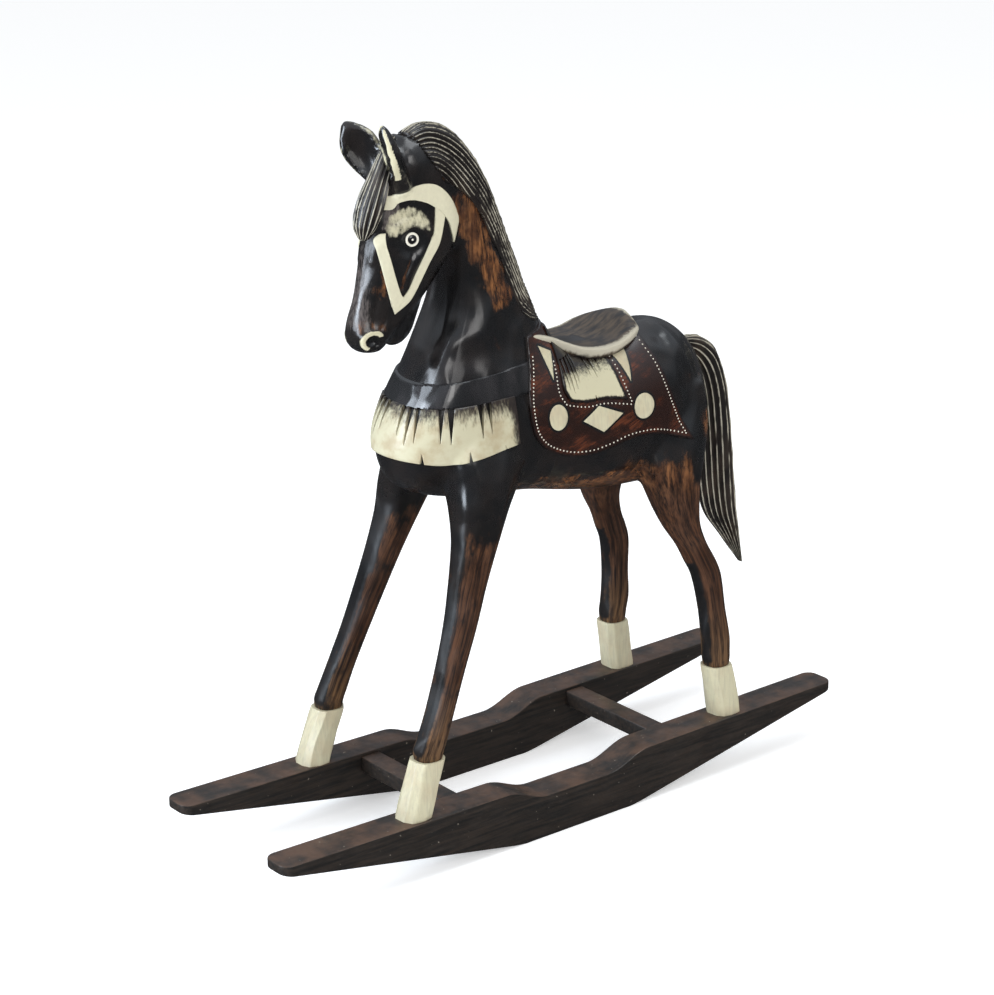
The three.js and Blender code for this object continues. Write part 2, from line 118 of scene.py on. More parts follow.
# Where each ear stands, and how it is turned to the horse's left, leant forward and splayed out, in degrees.
EAR_POSES = {"left": ((194, 24, 776), -22, 24, 8), "right": ((187, 29, 772), 40, 18, 30)}

# Side outlines, as x and z.
MANE_OUTLINE = [
    [172, 840], [167, 822], [150, 792], [131, 765], [106, 747], [91, 733], [75, 709], [65, 686], [49, 662],
    [38, 626], [26, 600], [12, 580], [-12, 568], [-50, 572], [-20, 690], [30, 790], [85, 850],
]
CLOTH_OUTLINE = [
    [24, 548], [30, 523], [41, 484], [40, 449], [28, 428], [8, 414], [-21, 403], [-54, 399], [-85, 402],
    [-113, 407], [-145, 407], [-173, 402], [-224, 386], [-197, 443], [-180, 495], [-172, 530], [-172, 640],
    [-36, 640], [-36, 568], [22, 557],
]
FLAP_OUTLINE = [
    [-20, 560], [-16, 520], [-13, 491], [-20, 474], [-47, 468], [-80, 466], [-114, 459], [-108, 489], [-106, 560],
]
BAND_OUTLINE = [
    [250, 512], [180, 512], [157, 518], [120, 522], [74, 525], [26, 530], [26, 494], [124, 492], [187, 490],
    [250, 489],
]
FRINGE_OUTLINE = [
    [250, 490], [187, 491], [124, 493], [62, 495], [62, 437], [90, 435], [124, 430], [161, 424], [198, 428],
    [250, 434],
]
BROWBAND_OUTLINE = [
    [238, 760], [206, 753], [196, 757], [177, 762], [160, 764], [144, 760], [127, 746], [115, 728], [111, 711],
    [121, 688], [126, 701], [131, 715], [140, 727], [150, 735], [162, 742], [179, 747], [195, 745], [206, 737],
    [238, 742],
]
CHEEK_STRAP_OUTLINE = [
    [149, 738], [136, 724], [141, 709], [148, 690], [159, 673], [170, 652], [179, 635], [187, 624], [204, 613],
    [194, 631], [187, 640], [178, 659], [167, 680], [157, 700], [152, 716],
]
NOSE_STRAP_OUTLINE = [
    [223.5, 702], [218, 709], [212.5, 710], [213.5, 698], [208.5, 678], [203.5, 656], [198, 637], [194, 631],
    [188, 624], [205, 612], [209.5, 626], [214, 646], [218.5, 671], [222.5, 690],
]
MOUTH_LINE = [[206, 596], [214, 588], [224, 578], [236, 569], [224, 577.6], [214, 587.6]]
# Folds cut in the face: a line in x and z, its depth and its half width.
FACE_FOLDS = [
    ([[182, 680], [186, 668], [192, 655], [195, 642]], 1.6, 3.4),
    ([[222, 640], [230, 614], [232, 600]], 1.2, 5),
    ([[208, 626], [216, 606], [222, 596]], 1.0, 4),
    ([[214, 700], [222, 690], [226, 676]], -1.0, 7),
]
BROW_PATCH = [
    [211, 716], [206, 729], [192, 739], [179, 739], [168, 732], [160, 721], [159, 709], [166, 711], [180, 716],
    [190, 711], [200, 705], [209, 706],
]
NOSTRIL = {"x": 232.5, "z": 582, "half_x": 9, "half_z": 7.5, "side": 21}
# Cuts into the flap's paint: x and half width at the top and z there, x and z at the point.
FLAP_CUTS = [
    [-20, 2.0, 524, -23, 488], [-28, 2.2, 524, -29, 482], [-36, 2.0, 524, -36, 486], [-43, 1.8, 524, -42, 493],
    [-66, 1.8, 520, -66, 496], [-76, 2.0, 518, -75, 492], [-88, 1.8, 517, -86, 497], [-63, 3.6, 458, -63, 474],
]
EYE = {"x": 181, "z": 700}
# The hollow round the eye, with the slant of its long axis in degrees.
SOCKET = {"x": 181, "z": 696, "slant": -18}
# Round parts of the eye: radius and how far it stands off the skin in metres, and how flat it is.
EYE_BALLS = {"eyeballs": (0.0062, 0.0004, 0.42), "eye_dots": (0.0017, 0.0024, 0.5)}
EYE_RING = {"major_radius": 0.0071, "minor_radius": 0.0015, "lift": 0.0012}
AMBER_RUN = [[108, 730], [92, 702], [78, 668], [61, 634], [52, 612]]
DIAMOND = [[-38, 446], [-66, 460], [-104, 444], [-71, 426]]
DROPS = [[[7, 544], [-11, 535], [-1, 503]], [[-117, 511], [-138, 514], [-126, 479]]]
OVALS = [[1, 458, 14, 16], [-141, 446, 17, 16]]
# Rows of dots: how far inside the cloth's edge, their spacing, and the share of it that counts along x.
DOTS = {"depth": 6.0, "spacing": 4.4, "stretch": (0.68, 1), "radius": 1.1, "height": 0.7}
FLAP_DOTS = [[-12, 560], [-9, 520], [-5, 488], [-14, 470], [-46, 462], [-80, 460], [-122, 451], [-114, 489],
             [-112, 560]]
# Where brown wood shows: spots as x, z, radius and strength, and lines on the face.
BROWN_SPOTS = [(-262, 398, 34, 0.85), (-236, 470, 26, 0.35), (-206, 330, 40, 0.5), (-196, 408, 34, 0.5),
               (-20, 356, 60, 0.55)]
CHEEK_LINE = [[184, 676], [192, 655], [196, 642]]
MUZZLE_LINE = [[222, 668], [214, 632], [226, 604], [238, 596]]
# Where greyish-brown is brushed into the grain, partly dry-brushed paint and partly a painted highlight: the bridge
# of the nose and the temple.
NOSE_BRIDGE = [[246, 690], [246, 650], [250, 612]]
TEMPLE = [[206, 742], [196, 742], [204, 712], [212, 716]]
# Cuts in the fringe: degrees round the chest from ahead, the level of the point and the half width at the top.
CHEST_AXIS = 100
FRINGE_CUTS = [(10, 458, 4.0), (18, 448, 4.6), (25, 452, 3.8), (44, 452, 4.4), (52, 450, 5.0), (80, 452, 4.8),
               (89, 456, 4.4)]
# Nicks in its hem: degrees round the chest, and the levels of their points and of their open ends.
HEM_CUTS = [31, 67, 99]
CUT_LEVELS = {"fringe_top": 497, "hem_point": 439, "hem_open": 414}
CUT_POINT, HEM_HALF = 0.2, 5


def curve_point(before, start, end, after, t):
    """A point of the smooth curve from start to end, at t between 0 and 1."""
    bend = 2 * before - 5 * start + 4 * end - after
    twist = 3 * start - before - 3 * end + after
    return start + 0.5 * ((end - before) * t + bend * t * t + twist * t**3)


def refined(rows, steps):
    """More rows between the given ones, on a smooth curve through them."""
    rows = np.asarray(rows, float)
    last = len(rows) - 1
    fine = [curve_point(rows[max(i - 1, 0)], rows[i], rows[i + 1], rows[min(i + 2, last)], s / steps)
            for i in range(last) for s in range(steps)]
    return np.array(fine + [rows[-1]])


def smoothed(outline, steps=5, corner=48):
    """A closed outline with more points, rounded everywhere but where it turns by more than the corner's degrees."""
    points = np.asarray(outline, float)
    count = len(points)
    ahead = np.roll(points, -1, 0) - points
    behind = points - np.roll(points, 1, 0)
    turn = np.arctan2(behind[:, 0] * ahead[:, 1] - behind[:, 1] * ahead[:, 0], (behind * ahead).sum(1))
    sharp = np.degrees(np.abs(turn)) > corner
    fine = []
    for i in range(count):
        j = (i + 1) % count
        start, end = points[i], points[j]
        before = start * 2 - end if sharp[i] else points[i - 1]
        after = end * 2 - start if sharp[j] else points[(i + 2) % count]
        fine += [curve_point(before, start, end, after, s / steps) for s in range(steps)]
    return np.array(fine)


def linked(name, data):
    obj = bpy.data.objects.new(name, data)
    bpy.context.scene.collection.objects.link(obj)
    return obj


def deselect():
    if bpy.context.object and bpy.context.object.mode != "OBJECT":
        bpy.ops.object.mode_set(mode="OBJECT")
    bpy.ops.object.select_all(action="DESELECT")


def only(obj):
    deselect()
    obj.select_set(True)
    bpy.context.view_layer.objects.active = obj


def mesh_object(name, points, faces):
    """A closed mesh from points in millimetres, with its faces turned outward."""
    points = np.asarray(points, float)
    mesh = bpy.data.meshes.new(name)
    mesh.from_pydata((points * MM).tolist(), [], [list(f) for f in faces])
    obj = linked(name, mesh)
    bm = bmesh.new()
    bm.from_mesh(mesh)
    if bm.calc_volume(signed=True) < 0:
        bmesh.ops.reverse_faces(bm, faces=bm.faces)
    bm.to_mesh(mesh)
    bm.free()
    return obj


def skin(name, rings):
    """Joins rings of as many points into one closed mesh, with a fan over each end."""
    rings = np.asarray(rings)
    count, sides = rings.shape[:2]
    points = np.vstack([rings.reshape(-1, 3), rings[0].mean(0), rings[-1].mean(0)])
    points[:, 2] += FOOT_LEVEL
    first, last = count * sides, count * sides + 1
    faces = []
    for i in range(sides):
        j = (i + 1) % sides
        faces += [(r * sides + i, r * sides + j, (r + 1) * sides + j, (r + 1) * sides + i) for r in range(count - 1)]
        faces.append((first, j, i))
        faces.append((last, (count - 1) * sides + i, (count - 1) * sides + j))
    return mesh_object(name, points, faces)


def rounded(value, square):
    return np.sign(value) * np.abs(value) ** (2 / square)


# Points round a ring for measuring it, the shortest reach in millimetres that is trusted, and how many rings to
# either side a reach is averaged over.
DENSE = 1440
SHORTEST_REACH = 8
REACH_BLUR = 9


def run_along(points):
    """How far along its line each point is."""
    return np.concatenate([[0], np.cumsum(np.hypot(*np.diff(points, axis=0).T))])


def cross_loft(name, rows, sides=96, steps=5, square=2.2, grow=0.0, groove=None, inside=None):
    """A mesh over rings across the horse. groove gives the depth cut in at each point and how near the point is to a
    ridge. It shares out the ring from the crest, or the part of each side of it that is inside an outline."""
    fine = refined(rows, steps)
    angle = np.arange(sides) / sides * 2 * math.pi
    dense = np.linspace(0, 2 * math.pi, DENSE)
    frames, reaches = [], []
    for back_x, back_z, belly_x, belly_z, half, narrowing in fine:
        centre = np.array([back_x + belly_x, back_z + belly_z]) / 2
        rise = np.array([back_x, back_z]) - centre
        length = np.linalg.norm(rise)
        run = run_along(np.column_stack([np.cos(dense) * length, np.sin(dense) * half]))
        reaches.append(run[-1] / 2)
        if inside is not None:
            line = centre + rise * np.cos(dense)[:, None]
            kept = np.minimum(run, run[-1] - run)[outline_distance(inside, line) < 0]
            reaches[-1] = kept.max() if len(kept) else 0
        frames.append((centre, rise / length, length, half, narrowing, run))
    if inside is not None:
        reaches = np.array(reaches)
        known = reaches > SHORTEST_REACH
        reaches = np.interp(np.arange(len(fine)), np.flatnonzero(known), reaches[known])
        window = 2 * REACH_BLUR + 1
        reaches = np.convolve(np.pad(reaches, REACH_BLUR, mode="edge"), np.ones(window) / window, "valid")
    rings, ridges = [], []
    steps_along = np.linspace(0, 1, len(fine))
    for place, reach, (centre, rise, length, half, narrowing, run) in zip(steps_along, reaches, frames):
        depth, turned = 0, angle
        if groove:
            even = np.arange(sides) / sides * run[-1]
            turned = np.interp(even, run, dense)
            depth, ridge = groove(np.where(even > run[-1] / 2, even - run[-1], even), reach, place)
            depth = np.minimum(depth, half / 3)
            ridges.append(ridge)
        up = rounded(np.cos(turned), square)
        across = rounded(np.sin(turned), square) * (1 - narrowing * up)
        along = up * (length + grow - depth)
        y = across * (half + grow - depth)
        rings.append(np.column_stack([centre[0] + rise[0] * along, y, centre[1] + rise[1] * along]))
    made = skin(name, rings)
    if groove:
        attribute(made, "ridge", np.concatenate([np.concatenate(ridges), [0, 0]]))
    return made


def level_loft(name, rows, side=1, sides=48, steps=4, square=2.5):
    fine = refined(rows, steps)
    angle = (np.arange(sides) + 0.5) / sides * 2 * math.pi
    rings = [
        np.column_stack([
            x + length * rounded(np.cos(angle), square),
            side * (y + width * rounded(np.sin(angle), square)),
            np.full(sides, z),
        ])
        for x, y, z, length, width in fine
    ]
    return skin(name, rings)


def prism(name, outline, low, high):
    """A side outline carried through the horse from one y to another, in millimetres."""
    outline = np.asarray(outline, float)
    count = len(outline)
    near = np.column_stack([outline[:, 0], np.full(count, low), outline[:, 1] + FOOT_LEVEL])
    far = near.copy()
    far[:, 1] = high
    faces = [tuple(range(count)), tuple(range(2 * count - 1, count - 1, -1))]
    faces += [(i, count + i, count + (i + 1) % count, (i + 1) % count) for i in range(count)]
    obj = mesh_object(name, np.vstack([near, far]), faces)
    bm = bmesh.new()
    bm.from_mesh(obj.data)
    bmesh.ops.recalc_face_normals(bm, faces=bm.faces)
    bmesh.ops.triangulate(bm, faces=bm.faces)
    bm.to_mesh(obj.data)
    bm.free()
    return obj


def apply_modifiers(obj):
    only(obj)
    for modifier in list(obj.modifiers):
        bpy.ops.object.modifier_apply(modifier=modifier.name)
    return obj


def combined(obj, other, operation):
    """obj with other joined to it, cut from it, or kept only where both are. The other is used up."""
    modifier = obj.modifiers.new("combine", "BOOLEAN")
    modifier.object = other
    modifier.operation = operation
    modifier.solver = "MANIFOLD"
    apply_modifiers(obj)
    bpy.data.objects.remove(other)
    return obj


def joined(name, parts):
    only(parts[0])
    for part in parts:
        part.select_set(True)
    bpy.ops.object.join()
    parts[0].name = name
    return parts[0]


def copy_of(obj, name):
    return linked(name, obj.data.copy())


def points_of(obj):
    """The mesh's points in the horse's own millimetres, from the sole."""
    points = np.empty(len(obj.data.vertices) * 3)
    obj.data.vertices.foreach_get("co", points)
    points = points.reshape(-1, 3) / MM
    points[:, 2] -= FOOT_LEVEL
    return points


def set_points(obj, points):
    points = np.array(points)
    points[:, 2] += FOOT_LEVEL
    obj.data.vertices.foreach_set("co", (points * MM).ravel())
    obj.data.update()


def normals_of(obj):
    normals = np.empty(len(obj.data.vertices) * 3)
    obj.data.vertices.foreach_get("normal", normals)
    return normals.reshape(-1, 3)


def attribute(obj, name, values):
    values = np.asarray(values, np.float32)
    vector = values.ndim == 2
    made = obj.data.attributes.new(name, "FLOAT_VECTOR" if vector else "FLOAT", "POINT")
    made.data.foreach_set("vector" if vector else "value", values.ravel())


def smooth_shaded(obj, angle=None):
    only(obj)
    if angle is None:
        bpy.ops.object.shade_smooth()
    else:
        bpy.ops.object.shade_smooth_by_angle(angle=math.radians(angle))
    return obj


def edge_distance(a, b, points):
    edge = b - a
    t = np.clip(((points - a) @ edge) / max(edge @ edge, 1e-9), 0, 1)
    return np.linalg.norm(points - a - t[:, None] * edge, axis=1)


def outline_distance(outline, points):
    """Signed distance in millimetres from x and z points to a closed outline, negative inside."""
    outline = np.asarray(outline, float)
    best = np.full(len(points), np.inf)
    inside = np.zeros(len(points), bool)
    for a, b in zip(outline, np.roll(outline, -1, 0)):
        best = np.minimum(best, edge_distance(a, b, points))
        crosses = (a[1] > points[:, 1]) != (b[1] > points[:, 1])
        if a[1] != b[1]:
            inside ^= crosses & (points[:, 0] < (b[0] - a[0]) * (points[:, 1] - a[1]) / (b[1] - a[1]) + a[0])
    return np.where(inside, -best, best)


def line_distance(line, points):
    """Distance in millimetres from x and z points to an open line."""
    line = np.asarray(line, float)
    return np.minimum.reduce([edge_distance(a, b, points) for a, b in zip(line[:-1], line[1:])])


def ellipse_outline(x, z, half_x, half_z, count=40):
    angle = np.arange(count) / count * 2 * math.pi
    return np.column_stack([x + half_x * np.cos(angle), z + half_z * np.sin(angle)])


def fade(distance, width):
    """1 at a distance of 0 or less, falling smoothly to 0 at the width."""
    t = np.clip(1 - distance / width, 0, 1)
    return t * t * (3 - 2 * t)


# Shaping the carved wood: one smooth mesh of the trunk, head, ears and legs

def ear_turns(word):
    """How an ear's own axes stand in the horse's, and where its root is."""
    (root_x, root_y, root_z), turn, lean, splay = EAR_POSES[word]
    turned = Matrix.Rotation(math.radians(turn), 3, "Z")
    leant = Matrix.Rotation(math.radians(lean), 3, "Y")
    splayed = Matrix.Rotation(-math.radians(SIDES[word] * splay), 3, "X")
    return np.array(splayed @ leant @ turned), np.array([root_x, SIDES[word] * root_y, root_z])


def placed_ear(word):
    ear = combined(level_loft("ear", EAR, sides=32), level_loft("ear_hollow", EAR_HOLLOW, sides=32), "DIFFERENCE")
    turns, root = ear_turns(word)
    set_points(ear, points_of(ear) @ turns.T + root)
    return ear


def ear_rims(points):
    """1 along the front edges of the ears, for the paint rubbed on them."""
    rims = np.zeros(len(points))
    rows = np.array(EAR, float)
    for word, strength in (("left", 1.0), ("right", 0.4)):
        turns, root = ear_turns(word)
        x, y, z = ((points - root) @ turns).T
        half = np.interp(z, rows[:, 2], rows[:, 4])
        on_ear = (z > 6) & (z < 80) & (np.abs(y) < half + 6) & (x > -1) & (x < 22)
        width = np.where(y * SIDES[word] < 0, 13 if word == "left" else 6, 2.4)
        rims = np.maximum(rims, np.where(on_ear, strength * fade(half - np.abs(y) - 1.2, width), 0))
    return rims


def remeshed(obj, voxel, smoothing):
    modifier = obj.modifiers.new("remesh", "REMESH")
    modifier.mode = "VOXEL"
    modifier.voxel_size = voxel
    modifier = obj.modifiers.new("smooth", "SMOOTH")
    modifier.factor = 0.5
    modifier.iterations = smoothing
    return apply_modifiers(obj)


def refine_head(obj):
    """Splits the faces of the head once, so that the face has twice the detail."""
    only(obj)
    bm = bmesh.new()
    bm.from_mesh(obj.data)
    chin = (575 + FOOT_LEVEL) * MM
    edges = [e for e in bm.edges if all(v.co.x > 0.118 and v.co.z > chin - 0.02 for v in e.verts)
             and sum(v.co.x + 0.55 * (v.co.z - chin) for v in e.verts) / 2 > 0.19]
    bmesh.ops.subdivide_edges(bm, edges=edges, cuts=1, use_grid_fill=True, smooth=0.5)
    bmesh.ops.triangulate(bm, faces=[f for f in bm.faces if len(f.verts) > 4])
    bm.to_mesh(obj.data)
    bm.free()
    return obj


parts = [
    cross_loft("trunk", TRUNK), cross_loft("head", HEAD, sides=72, square=2.35), cross_loft("jaw", JAW, sides=64),
    placed_ear("left"), placed_ear("right"),
]
for pair, rows in LEGS.items():
    x, y, _, length, width = rows[-4]
    end_in_foot = [x + 0.3 * (rows[-3][0] - x), y, 60, length - 3, width - 3]
    for side in SIDES.values():
        parts.append(level_loft(f"{pair}_leg", rows[:-3] + [end_in_foot], side))
horse = remeshed(joined("carved_horse", parts), VOXEL, 6)
refine_head(horse)


def face_frame(points):
    """How far each point is from the middle of the eye, along its slant and across it."""
    x, _, z = points.T
    x, z = x - SOCKET["x"], z - SOCKET["z"]
    slant = math.radians(SOCKET["slant"])
    along = x * math.cos(slant) + z * math.sin(slant)
    up = z * math.cos(slant) - x * math.sin(slant)
    return along, up


def nostril_reach(points):
    """Distance from the middle of the nearer nostril, in its own half sizes."""
    x, y, z = points.T
    return np.sqrt(((x - NOSTRIL["x"]) / NOSTRIL["half_x"]) ** 2 + ((z - NOSTRIL["z"]) / NOSTRIL["half_z"]) ** 2
                   + ((np.abs(y) - NOSTRIL["side"]) / 11) ** 2)


def carve_face(points, normals):
    """Sinks the nostrils, the eye sockets and the mouth line, and raises the brow and the cheek."""
    x, y, z = points.T
    beside = np.abs(y)
    on_face = (beside > 16) & (x > FACE_START)
    sink = np.zeros(len(points))
    nostril = nostril_reach(points)
    sink += 5.0 * fade(nostril - 0.45, 0.7) - 1.4 * fade(np.abs(nostril - 1.45), 0.5)
    along, up = face_frame(points)
    socket = np.hypot(along / 21, up / 19)
    sink += np.where(on_face, 3.2 * fade(socket - 0.5, 0.6), 0)
    brow = np.abs(np.hypot(along / 25, (up - 3) / 23) - 1)
    sink -= np.where(on_face & (up > -2), 1.8 * fade(brow, 0.32), 0)
    mouth = outline_distance(MOUTH_LINE, np.column_stack([x, z]))
    sink += np.where(x > 200, 2.0 * fade(np.abs(mouth), 3.2), 0)
    for line, depth, width in FACE_FOLDS:
        away = line_distance(line, np.column_stack([x, z]))
        sink += np.where(beside > 12, depth * fade(away, width), 0)
    return points - normals * sink[:, None]


set_points(horse, carve_face(points_of(horse), normals_of(horse)))
smooth_shaded(horse)


def raised(name, outline, relief, low=-BEYOND, high=BEYOND, smooth=True):
    """The horse's own surface lifted by the relief, kept only inside a side outline."""
    made = copy_of(horse, name)
    set_points(made, points_of(made) + normals_of(made) * relief)
    return combined(made, prism("outline", smoothed(outline) if smooth else outline, low, high), "INTERSECT")


# Raised pieces: the saddle cloth and its flap, the breast band and fringe, the bridle.
def chest_wedge(angle, top, bottom, top_half, bottom_half):
    """A wedge standing round the chest axis, carried outward from it, for cutting the fringe."""
    wedge = prism("wedge", [[-top_half, top], [top_half, top], [bottom_half, bottom], [-bottom_half, bottom]], 0, 300)
    points = points_of(wedge)
    turn = math.radians(angle - 90)
    x, y, z = points.T
    x, y = x * math.cos(turn) - y * math.sin(turn), x * math.sin(turn) + y * math.cos(turn)
    set_points(wedge, np.column_stack([x + CHEST_AXIS, y, z]))
    return wedge


cloth = raised("saddle_cloth", CLOTH_OUTLINE, RELIEF["cloth"])
flap = raised("saddle_flap", FLAP_OUTLINE, RELIEF["flap"])
wedges = [prism("wedge", [[x - half, z], [x + half, z], [tip_x + CUT_POINT, tip_z], [tip_x - CUT_POINT, tip_z]],
                -BEYOND, BEYOND) for x, half, z, tip_x, tip_z in FLAP_CUTS]
flap = combined(flap, joined("flap_cuts", wedges), "DIFFERENCE")
band = raised("breast_band", BAND_OUTLINE, RELIEF["band"])
fringe = raised("breast_fringe", FRINGE_OUTLINE, RELIEF["fringe"])
cuts = []
for side in SIDES.values():
    cuts += [chest_wedge(side * angle, CUT_LEVELS["fringe_top"], point, half, CUT_POINT)
             for angle, point, half in FRINGE_CUTS]
    cuts += [chest_wedge(side * angle, CUT_LEVELS["hem_point"], CUT_LEVELS["hem_open"], CUT_POINT, HEM_HALF)
             for angle in HEM_CUTS]
for wedge in cuts:
    fringe = combined(fringe, wedge, "DIFFERENCE")
straps = {"browband": BROWBAND_OUTLINE, "cheek_strap": CHEEK_STRAP_OUTLINE, "nose_strap": NOSE_STRAP_OUTLINE}
bridle = [raised(f"{word}_{strap}", outline, RELIEF[strap], *sorted((4 * side, BEYOND * side)))
          for word, side in SIDES.items() for strap, outline in straps.items()]


# Hair: strands carved lengthwise in the mane, the forelock and the tail.
def strands(count, depth, wave, shift=0.0):
    """Lengthwise strands: narrow ridges with broad floors between them, uneven in depth and a little wavy."""

    def groove(run, reach, place):
        turn = run / reach
        bend = wave * np.sin(5 * place + np.abs(turn)) + 0.6 * np.sin(7 * turn + 1.3)
        phase = math.pi * count * turn + shift + bend
        uneven = 0.75 + 0.25 * np.sin(2.3 * phase + 0.7)
        floor = np.abs(np.sin(phase))
        return min(depth, 0.7 * reach / count) * uneven * floor**0.55, 1 - floor

    return groove


mane = cross_loft("mane", TRUNK[9:], sides=520, steps=7, square=2, grow=5.5, groove=strands(9, 4.6, 0.4),
                  inside=smoothed(MANE_OUTLINE))
mane = combined(mane, prism("outline", smoothed(MANE_OUTLINE), -BEYOND, BEYOND), "INTERSECT")
forelock = cross_loft("forelock", FORELOCK, 200, 10, grow=0.5, groove=strands(8, 3.6, 0.4, 0.6))
tail = cross_loft("carved_tail", TAIL, 240, 10, grow=0.3, groove=strands(8, 4.2, 0.4, 0.3))
for hair in (mane, forelock, tail):
    smooth_shaded(hair)


def scooped_seat():
    """The saddle's seat: a rim that overhangs its narrower base, with the middle hollowed out."""
    sides, square = 140, 3.2
    angle = np.arange(sides) / sides * 2 * math.pi
    across, up = rounded(np.sin(angle), square), rounded(np.cos(angle), square)
    rings = []
    for x, top, base, half, hollow in refined(SEAT, 8):
        widest = top - 6
        upper = widest + 6 * up - hollow * (1 - across**2) * np.clip(up, 0, 1) ** 0.5
        lower = widest + (widest - base) * up
        y = across * half * (1 - 0.15 * np.clip(-up, 0, 1))
        rings.append(np.column_stack([np.full(sides, x), y, np.where(up > 0, upper, lower)]))
    return smooth_shaded(skin("saddle_seat", rings))


seat = scooped_seat()


# Painted feet, with the flat cuts of the chisel left on them
def painted_foot(pair, word):
    side = SIDES[word]
    top, middle, sole = np.array(LEGS[pair][-3:])
    between, low = (top + middle) / 2, (sole + middle) / 2
    between[3:] = top[3:] + 0.4
    low[2:] = 18, sole[3], sole[4]
    rows = [top + [0, 0, 1, -6, -6], top + [0, 0, 1, -1.4, -1.4], top + [0.3, 0, -0.6, 0, 0], between, middle,
            low, sole]
    rows = refined(rows, 6)
    sides, flats, square = 96, 10, 2.5
    angle = np.arange(sides) / sides * 2 * math.pi
    draw = np.random.default_rng(sum(ord(c) for c in pair + word))
    faces = np.sort((np.arange(flats) + draw.uniform(-0.3, 0.3, flats)) / flats * 2 * math.pi)
    reach = draw.uniform(0.93, 1.0, flats)
    rings = []
    for x, y, z, length, width in rows:
        turn = faces + 0.08 * math.sin(z / 14)
        facing = np.cos(angle[:, None] - turn[None, :])
        radius = np.where(facing > 0.3, reach / np.maximum(facing, 0.3), 9).min(1)
        radius = np.minimum(radius, 1.03)
        rings.append(np.column_stack([
            x + length * rounded(np.cos(angle), square) * radius,
            side * (y + width * rounded(np.sin(angle), square) * radius), np.full(sides, z),
        ]))
    return smooth_shaded(skin(f"{pair}_{word}_painted_foot", rings), 28)


feet = [painted_foot(pair, word) for pair in LEGS for word in SIDES]


# Rockers and crossbars
ROCKER = {"length": 912, "spread": 264, "thickness": 47, "height": 76, "rise": 4, "tip": 12, "rounding": 15,
          "flat": 190, "shoulder": 240, "waist": 100, "dip": 19}
BAR = {"spacing": 346, "width": 29, "height": 21, "drop": 3}


def rocker_outline():
    """Half the side outline from the middle of the keel to the middle of the top, and its mirror image."""
    top = [(ROCKER["length"] / 2, ROCKER["height"] + ROCKER["rise"])]
    for i in range(25):
        t = i / 24
        x = ROCKER["shoulder"] / 2 + (ROCKER["waist"] - ROCKER["shoulder"]) / 2 * t
        top.append((x, ROCKER["height"] - ROCKER["dip"] * (1 - math.cos(math.pi * t)) / 2))
    tip = ROCKER["height"] + ROCKER["rise"] - ROCKER["tip"]
    keel = [[0, 0], [70, 0], [ROCKER["flat"] / 2, 0.6], [145, 9.4], [300, 38.6], [ROCKER["length"] / 2, tip]]
    keel = refined(keel, 6)
    half = [tuple(p) for p in keel[1:]] + top
    return half + [(-x, z) for x, z in reversed(half)]


def bevelled(obj, width):
    modifier = obj.modifiers.new("bevel", "BEVEL")
    modifier.width = width * MM
    modifier.segments = 3
    modifier.limit_method = "ANGLE"
    modifier.angle_limit = math.radians(40)
    return apply_modifiers(obj)


def box(name, place, size):
    """A plain box from its middle and its size, in millimetres."""
    deselect()
    bpy.ops.mesh.primitive_cube_add(size=1, location=[c * MM for c in place])
    made = bpy.context.object
    made.name = name
    made.dimensions = [c * MM for c in size]
    bpy.ops.object.transform_apply(location=True, rotation=False, scale=True)
    return made


def rocker(word):
    half = ROCKER["thickness"] / 2
    middle = SIDES[word] * (ROCKER["spread"] - ROCKER["thickness"]) / 2
    outline = [(x, z - FOOT_LEVEL) for x, z in rocker_outline()]
    board = prism(f"{word}_rocker_board", outline, middle - half, middle + half)
    block = box("block", (0, middle, 50), (ROCKER["length"], ROCKER["thickness"], 300))
    bpy.ops.object.mode_set(mode="EDIT")
    bpy.ops.mesh.select_all(action="DESELECT")
    bpy.ops.object.mode_set(mode="OBJECT")
    for edge in block.data.edges:
        a, b = (block.data.vertices[i].co for i in edge.vertices)
        edge.select = abs(a.x - b.x) < 1e-6 and abs(a.y - b.y) < 1e-6
    bpy.ops.object.mode_set(mode="EDIT")
    bpy.ops.mesh.bevel(offset=ROCKER["rounding"] * MM, segments=8, affect="EDGES")
    bpy.ops.object.mode_set(mode="OBJECT")
    board = combined(board, block, "INTERSECT")
    only(board)
    bpy.ops.object.mode_set(mode="EDIT")
    bpy.ops.mesh.select_all(action="SELECT")
    bpy.ops.mesh.dissolve_limited(angle_limit=math.radians(0.4))
    bpy.ops.object.mode_set(mode="OBJECT")
    return smooth_shaded(bevelled(board, 1.6), 30)


rockers = [rocker(word) for word in SIDES]


def crossbar(name, x):
    level = ROCKER["height"] - BAR["drop"] - BAR["height"] / 2
    reach = ROCKER["spread"] - 2 * ROCKER["thickness"]
    return smooth_shaded(bevelled(box(name, (x, 0, level), (BAR["width"], reach, BAR["height"])), 1.8), 30)


bars = [crossbar("front_crossbar_board", BAR["spacing"] / 2), crossbar("rear_crossbar_board", -BAR["spacing"] / 2)]


# Painted dots, ovals, diamonds and drops on the cloth, and the eyes
def surface(objs):
    """A search tree over several meshes, for finding where the side of the horse is."""
    points, faces, start = [], [], 0
    for obj in objs:
        points += [v.co.copy() for v in obj.data.vertices]
        faces += [[start + i for i in p.vertices] for p in obj.data.polygons]
        start = len(points)
    return BVHTree.FromPolygons(points, faces)


def on_side(tree, x, z, side):
    origin = Vector((x * MM, side * 0.4, (z + FOOT_LEVEL) * MM))
    place, normal, _, _ = tree.ray_cast(origin, Vector((0, -side, 0)))
    return place, normal


